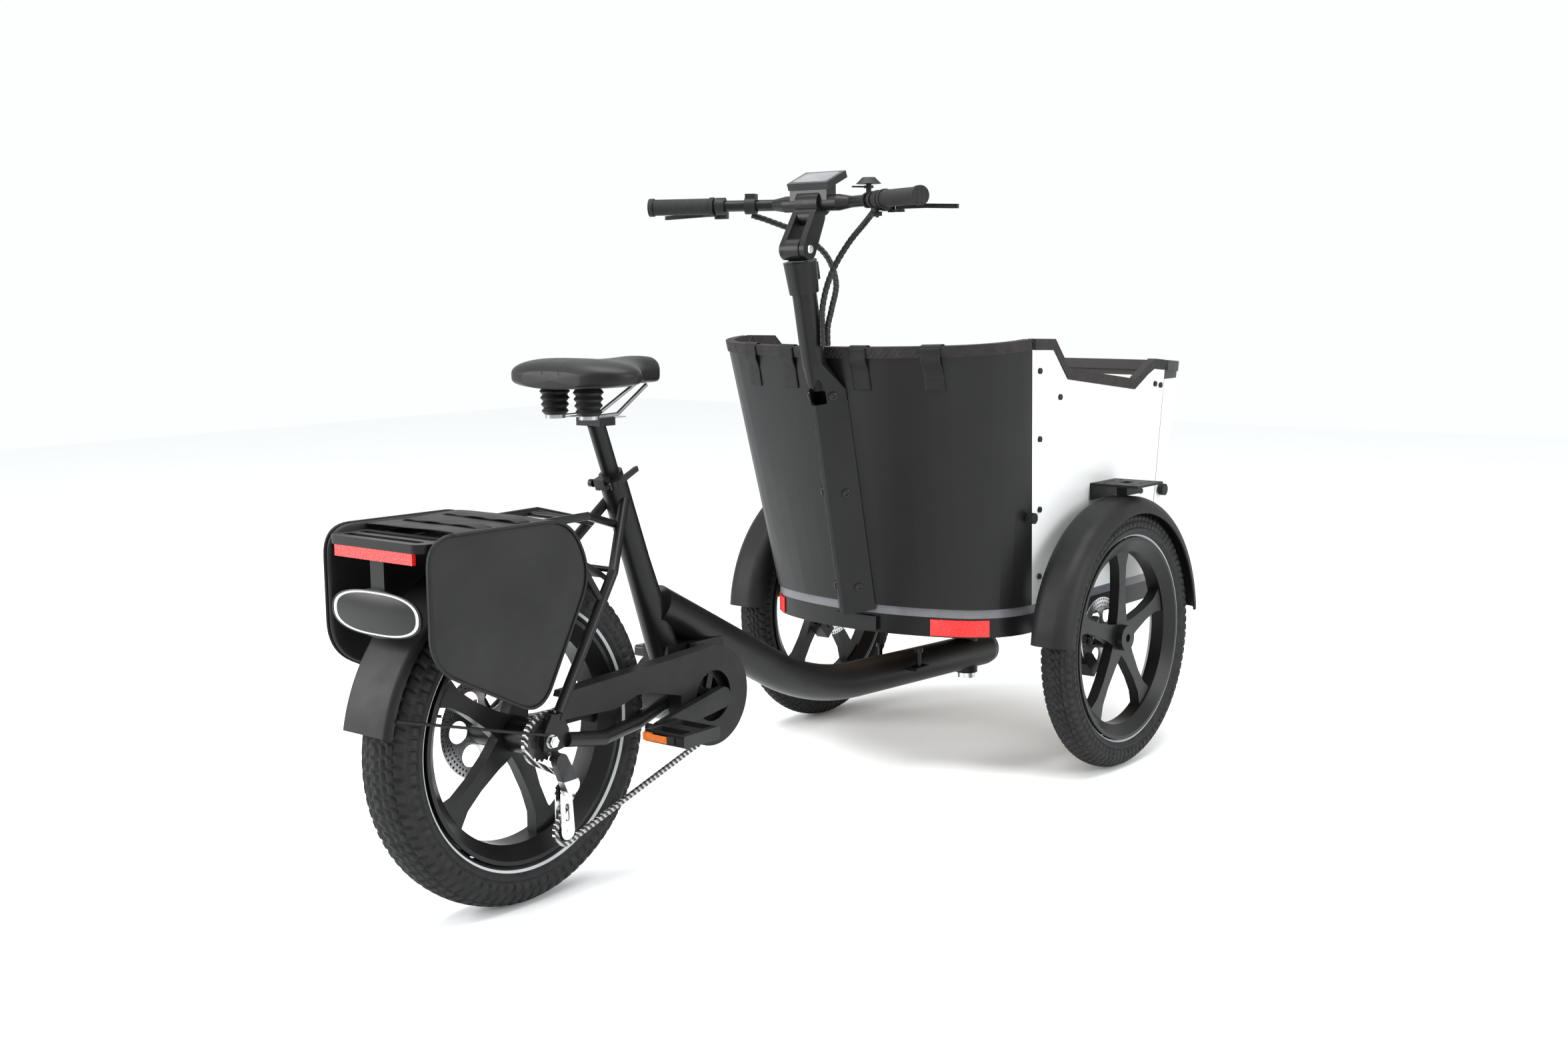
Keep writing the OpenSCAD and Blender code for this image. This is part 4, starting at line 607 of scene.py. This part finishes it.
outline = rounded(corners, 0.048, 10)
centre = np.array([-0.105 + rear, 0.520])
fabric = Finish("coated_fabric", (0.008, 0.008, 0.0084), 0.5).vary(8, 0.75, 1.4).roughen(20, 0.4, 0.62)
fabric.grain(10, 0.014, 0.55)
fabric.grain(1600, 0.00025, 0.6)
for sign, name in ((-1, "right"), (1, "left")):
    reach = np.concatenate([np.linspace(0.02, 0.97, 44), [0.99, 1.0, 0.99], np.linspace(0.97, 0.02, 12)])
    reach = reach[:, None]
    flat = centre + reach[..., None] * (outline[None] - centre)
    face = np.concatenate([np.ones(44), [0.8, 0.0, -0.8], -np.ones(12)])[:, None]
    belly = 0.0030 * folds(flat[..., 0], flat[..., 1], 9) * np.clip((1 - reach) * 6, 0, 1)
    belly = belly + 0.0035 * (1 - reach**2)
    depth = 0.1183 + 0.0048 * face + np.where(face > 0.9, belly, 0)
    points = np.stack([flat[..., 0], sign * depth, flat[..., 1]], -1)
    bag = wear(skin("pannier_" + name, points, wrap_v=True, cap_u=True, rides="frame"), fabric.made)
    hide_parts("panniers")
    edge = np.vstack([outline, outline[:1]])
    rim = np.stack([edge[:, 0], np.full(len(edge), sign * 0.1235), edge[:, 1]], -1)
    binding = wear(tube("pannier_binding_" + name, rim, 0.0026, 10), matte.made)
    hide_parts("panniers")
u = np.linspace(0, 1, 60)[:, None]
v = np.linspace(-1, 1, 70)[None, :]
x = rear - 0.188 + 0.196 * u + 0 * v
y = 0.1235 * v + 0 * u
z = 0.6475 + 0.0018 * folds(x, y, 8) - 0.002 * v**4
flap = wear(skin("pannier_flap", np.stack([x, y, z], -1)), fabric.made)
thick = flap.modifiers.new("thickness", "SOLIDIFY")
thick.thickness = 0.0016
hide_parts("panniers")

# ---- Rack straps ----
# Two webbing straps lie across the flap and hold the bags on the rack.

webbing = Finish("webbing", (0.008, 0.008, 0.0085), 0.6).vary(300, 0.8, 1.3).roughen(90, 0.5, 0.7)
webbing.bump(webbing.math("SINE", webbing.math("MULTIPLY", webbing.axes()[2], 3500.0)), 0.0003, 0.6)
for k, start in enumerate((-0.135, -0.055)):
    u = np.linspace(0, 1, 9)[:, None]
    v = np.linspace(-1, 1, 90)[None, :]
    x = rear + start + 0.028 * u + 0 * v
    y = 0.090 * v + 0 * u
    z = 0.6505 + 0.0006 * np.sin(9 * y * 10 + k) - 0.0032 * np.abs(v) ** 12
    strap = wear(skin(f"rack_strap_{k}", np.stack([x, y, z], -1)), webbing.made)
    thick = strap.modifiers.new("thickness", "SOLIDIFY")
    thick.thickness = 0.0016

# ---- Handlebar details ----
# Rubber grips with fine ribs round them, pushed over the bar's ends.

grip_rubber = Finish("grip_rubber", (0.009, 0.009, 0.009), 0.55).vary(60, 0.8, 1.3).roughen(60, 0.5, 0.7)
ribs = grip_rubber.math("SINE", grip_rubber.math("MULTIPLY", grip_rubber.axes()[1], 2 * math.pi / 0.0042))
grip_rubber.bump(ribs, 0.0007, 0.7)
wear("grips", grip_rubber.made)

# ---- Control cables ----
# Two bundles in spiral wrap, from the bar to the mast: a tube with a raised edge that winds round it.


def smooth_line(points, steps):
    """Catmull-Rom curve through points, with steps samples to each span."""
    p = np.array(points, float)
    p = np.vstack([2 * p[0] - p[1], p, 2 * p[-1] - p[-2]])
    t = (np.arange(steps) / steps)[None, :, None]
    a, b, c, d = (p[k:len(p) - 3 + k, None] for k in range(4))
    line = b + (c - a) * t / 2 + (2 * a - 5 * b + 4 * c - d) * t**2 / 2 + (3 * b - a - 3 * c + d) * t**3 / 2
    return np.vstack([line.reshape(-1, p.shape[1]), p[-2]])


wrap = Finish("spiral_wrap", (0.012, 0.012, 0.0125), 0.38).vary(80, 0.8, 1.3).roughen(60, 0.3, 0.5)
for name, route in (
    ("cable_wrap_left", [[818, 150, 1150], [838, 120, 1138], [866, 66, 1112], [884, 16, 1070], [872, -18, 1016],
                         [842, -30, 966], [826, -32, 930], [824, -33, 893]]),
    ("cable_wrap_right", [[818, -150, 1148], [838, -112, 1126], [846, -72, 1094], [836, -46, 1052], [820, -36, 1010],
                          [808, -33, 965], [809, -32, 925], [809, -33, 893]])):
    line = smooth_line(np.array(route) / 1000 + [rear, 0, 0], 60)
    length = np.concatenate([[0], np.cumsum(np.linalg.norm(np.diff(line, axis=0), axis=1))])[:, None]
    around = np.linspace(0, 1, 16, endpoint=False)[None, :]
    turn = (length / 0.011 + around) % 1
    radius = 0.0052 + 0.0008 * np.clip(np.minimum(turn, 0.8 - turn) / 0.08, 0, 1)
    bundle = wear(tube(name, line, radius, 16, None), wrap.made)
    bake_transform(bundle)
    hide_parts("control_cables")

# ---- Plate outline ----
# A blank oval plate with a white line round it covers the plate behind the rack.

turn = np.linspace(0, 2 * math.pi, 96, endpoint=False)
oval = np.stack([0.106 * np.sign(np.cos(turn)) * np.abs(np.cos(turn)) ** 0.75,
                 0.035 * np.sign(np.sin(turn)) * np.abs(np.sin(turn)) ** 0.8], -1)
scales = np.array([[0.0, -0.0045], [0.97, -0.0045], [1.0, -0.004],
                   [1.0, -0.001], [0.97, -0.0005], [0.0, -0.0005]])
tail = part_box("rack")[0].x + 0.0065
points = np.stack([tail + scales[:, 1, None] + 0 * turn, scales[:, :1] * oval[:, 0],
                   0.525 + scales[:, :1] * oval[:, 1]], -1)
badge = Finish("plate_paint", (0.006, 0.006, 0.0064), 0.3).vary(20, 0.85, 1.2).roughen(30, 0.24, 0.36)
x, y, z = badge.axes()
far_y = badge.math("POWER", badge.math("DIVIDE", badge.math("ABSOLUTE", y), 0.106), 2.6)
off_z = badge.math("ABSOLUTE", badge.math("SUBTRACT", z, 0.525))
far_z = badge.math("POWER", badge.math("DIVIDE", off_z, 0.035), 2.5)
badge.tint(badge.band(badge.math("ADD", far_y, far_z), 0.74, 0.87, 0.02), (0.75, 0.75, 0.75), 0.4)
badge_plate = wear(skin("plate_cover", points, wrap_v=True, cap_u=True), badge.made)
sharpen(badge_plate)

# ---- Screen ----
# A grey glass screen with rounded corners, just proud of the tilted display case.

tilt = math.radians(22)
out = np.array([-math.sin(tilt), 0, math.cos(tilt)])
fore = np.array([math.cos(tilt), 0, math.sin(tilt)])
middle = np.array([rear + 0.837, 0, 1.212])
turn = np.linspace(0, 2 * math.pi, 80, endpoint=False)
shape = np.stack([0.0265 * np.sign(np.cos(turn)) * np.abs(np.cos(turn)) ** 0.22,
                  0.0425 * np.sign(np.sin(turn)) * np.abs(np.sin(turn)) ** 0.22], -1)
rows = np.array([[0.0, 0.0066], [1.0, 0.0066], [1.0, 0.0074], [0.985, 0.0077], [0.0, 0.0077]])
pane = shape[None, :, :1] * fore + shape[None, :, 1:] * np.array([0, 1, 0])
points = middle + rows[:, 1, None, None] * out + rows[:, :1, None] * pane
glass = Finish("screen_glass", (0.12, 0.125, 0.13), 0.12).vary(3, 0.9, 1.1).roughen(20, 0.1, 0.16)
screen = wear(skin("screen", points, wrap_v=True, cap_u=True, rides="bars"), glass.made)
sharpen(screen)

# ---- Bolts and caps ----
# Domed heads with a hex socket: on the mast's two wings, the stem's pivot and the front hubs.


def revolve(name, profile, centre, axis, count=64, rides="frame"):
    """Profile points [radius, along] turned round an axis through centre; both ends are fanned shut."""
    axis = np.array(axis, float) / np.linalg.norm(axis)
    one = np.cross(axis, [0.3, 0.2, 0.9])
    one /= np.linalg.norm(one)
    two = np.cross(axis, one)
    a = np.linspace(0, 2 * math.pi, count, endpoint=False)
    ring = np.cos(a)[:, None] * one + np.sin(a)[:, None] * two
    profile = np.array(profile, float)
    points = np.array(centre) + profile[:, 1, None, None] * axis + profile[:, 0, None, None] * ring[None]
    return skin(name, points, wrap_v=True, cap_u=True, rides=rides)


def bolt(name, place, axis, head_r, height, rides, material):
    """Revolved dome with a sunk socket, standing on place along axis."""
    profile = [[head_r, -0.001], [head_r, height * 0.35], [head_r * 0.9, height * 0.75], [head_r * 0.62, height],
               [head_r * 0.5, height], [head_r * 0.48, height * 0.45], [0.0001, height * 0.45]]
    made = wear(revolve(name, profile, place, axis, 28, rides), material)
    sharpen(made)


def struck(node, start, way):
    """Where a ray from start along way first meets a CAD node, with the face's normal."""
    hit, place, normal, _ = nodes[node].ray_cast(Vector(start), Vector(way))
    return (np.array(place), np.array(normal)) if hit else (None, None)


lean = math.atan(113 / 541)
upward = np.array([-math.sin(lean), 0, math.cos(lean)])
inward = np.array([math.cos(lean), 0, math.sin(lean)])
foot = np.array([rear + 0.9564, 0, 0.352])
for k, height in enumerate((0.054, 0.255, 0.455)):
    for sign, name in ((-1, "right"), (1, "left")):
        seat = foot + height * upward - 0.0188 * inward + [0, sign * 0.029, 0]
        normal = -0.663 * inward + [0, sign * 0.748, 0]
        bolt(f"mast_bolt_{name}_{k}", seat, normal, 0.0092, 0.0045, "steer", gloss.made)
for sign, name in ((-1, "right"), (1, "left")):
    found, normal = struck("stem_riser", (rear + 0.774, sign * 0.3, 1.079), (0, -sign, 0))
    if found is not None:
        bolt("stem_bolt_" + name, found, (0, sign, 0), 0.0085, 0.0025, "bars", zinc.made)
    hub = left_hub if sign > 0 else right_hub
    found, normal = struck("front_rim_" + name, (hub[0], sign * 0.6, hub[2]), (0, -sign, 0))
    if found is not None:
        cap = revolve("hub_cap_" + name, [[0.0001, 0.0052], [0.006, 0.0047], [0.0105, 0.002], [0.012, -0.001]],
                      found, (0, sign, 0), 36, "wheel_" + name)
        wear(cap, gloss.made)

# ---- Rim straps ----
# Short webbing straps that hold the inner lining: each goes over the rim of the box and down its outer face.
# A ray finds the faces of the wall and of the trim, and the band is swept over them.

for k, middle_y in enumerate((0.207, 0.093, -0.084, -0.232)):
    rows = []
    for y in np.linspace(middle_y - 0.019, middle_y + 0.019, 9):
        outer = [struck("rear_wall", (-0.4, y, z), (1, 0, 0))[0] for z in (0.806, 0.825, 0.845)]
        wall = struck("rim_trim", (-0.4, y, 0.879), (1, 0, 0))[0]
        if wall is None or any(p is None for p in outer):
            rows = []
            break
        crest = struck("rim_trim", (wall[0] + 0.008, y, 1.0), (0, 0, -1))[0]
        crest = np.array([wall[0] + 0.008, y, 0.888]) if crest is None else crest
        line = [p + [-0.0016, 0, 0] for p in outer]
        line += [wall + [-0.0005, 0, -0.016], wall + [-0.002, 0, 0]]
        line += [wall * [1, 1, 0] + [-0.0035, 0, crest[2] - 0.004]]
        line += [crest + [0, 0, 0.0025], crest + [0.011, 0, -0.004], crest + [0.013, 0, -0.03]]
        rows.append(smooth_line(line, 5))
    if rows:
        strap = wear(skin(f"rim_strap_{k}", np.array(rows), rides="steer"), webbing.made)
        thick = strap.modifiers.new("thickness", "SOLIDIFY")
        thick.thickness = 0.0014
        thick.offset = 0
        length = float(np.linalg.norm(np.diff(rows[4], axis=0), axis=1).sum())

# ---- Shading of the kept CAD parts ----
# Their triangles are welded and split again at real edges, so that curved faces read as smooth.

for name, obj in nodes.items():
    if "custom_normal" in obj.data.attributes:
        obj.data.attributes.remove(obj.data.attributes["custom_normal"])
    obj.data.shade_smooth()
    weld = obj.modifiers.new("weld", "WELD")
    weld.merge_threshold = 1e-5
    split = obj.modifiers.new("edges", "EDGE_SPLIT")
    split.split_angle = math.radians(28)
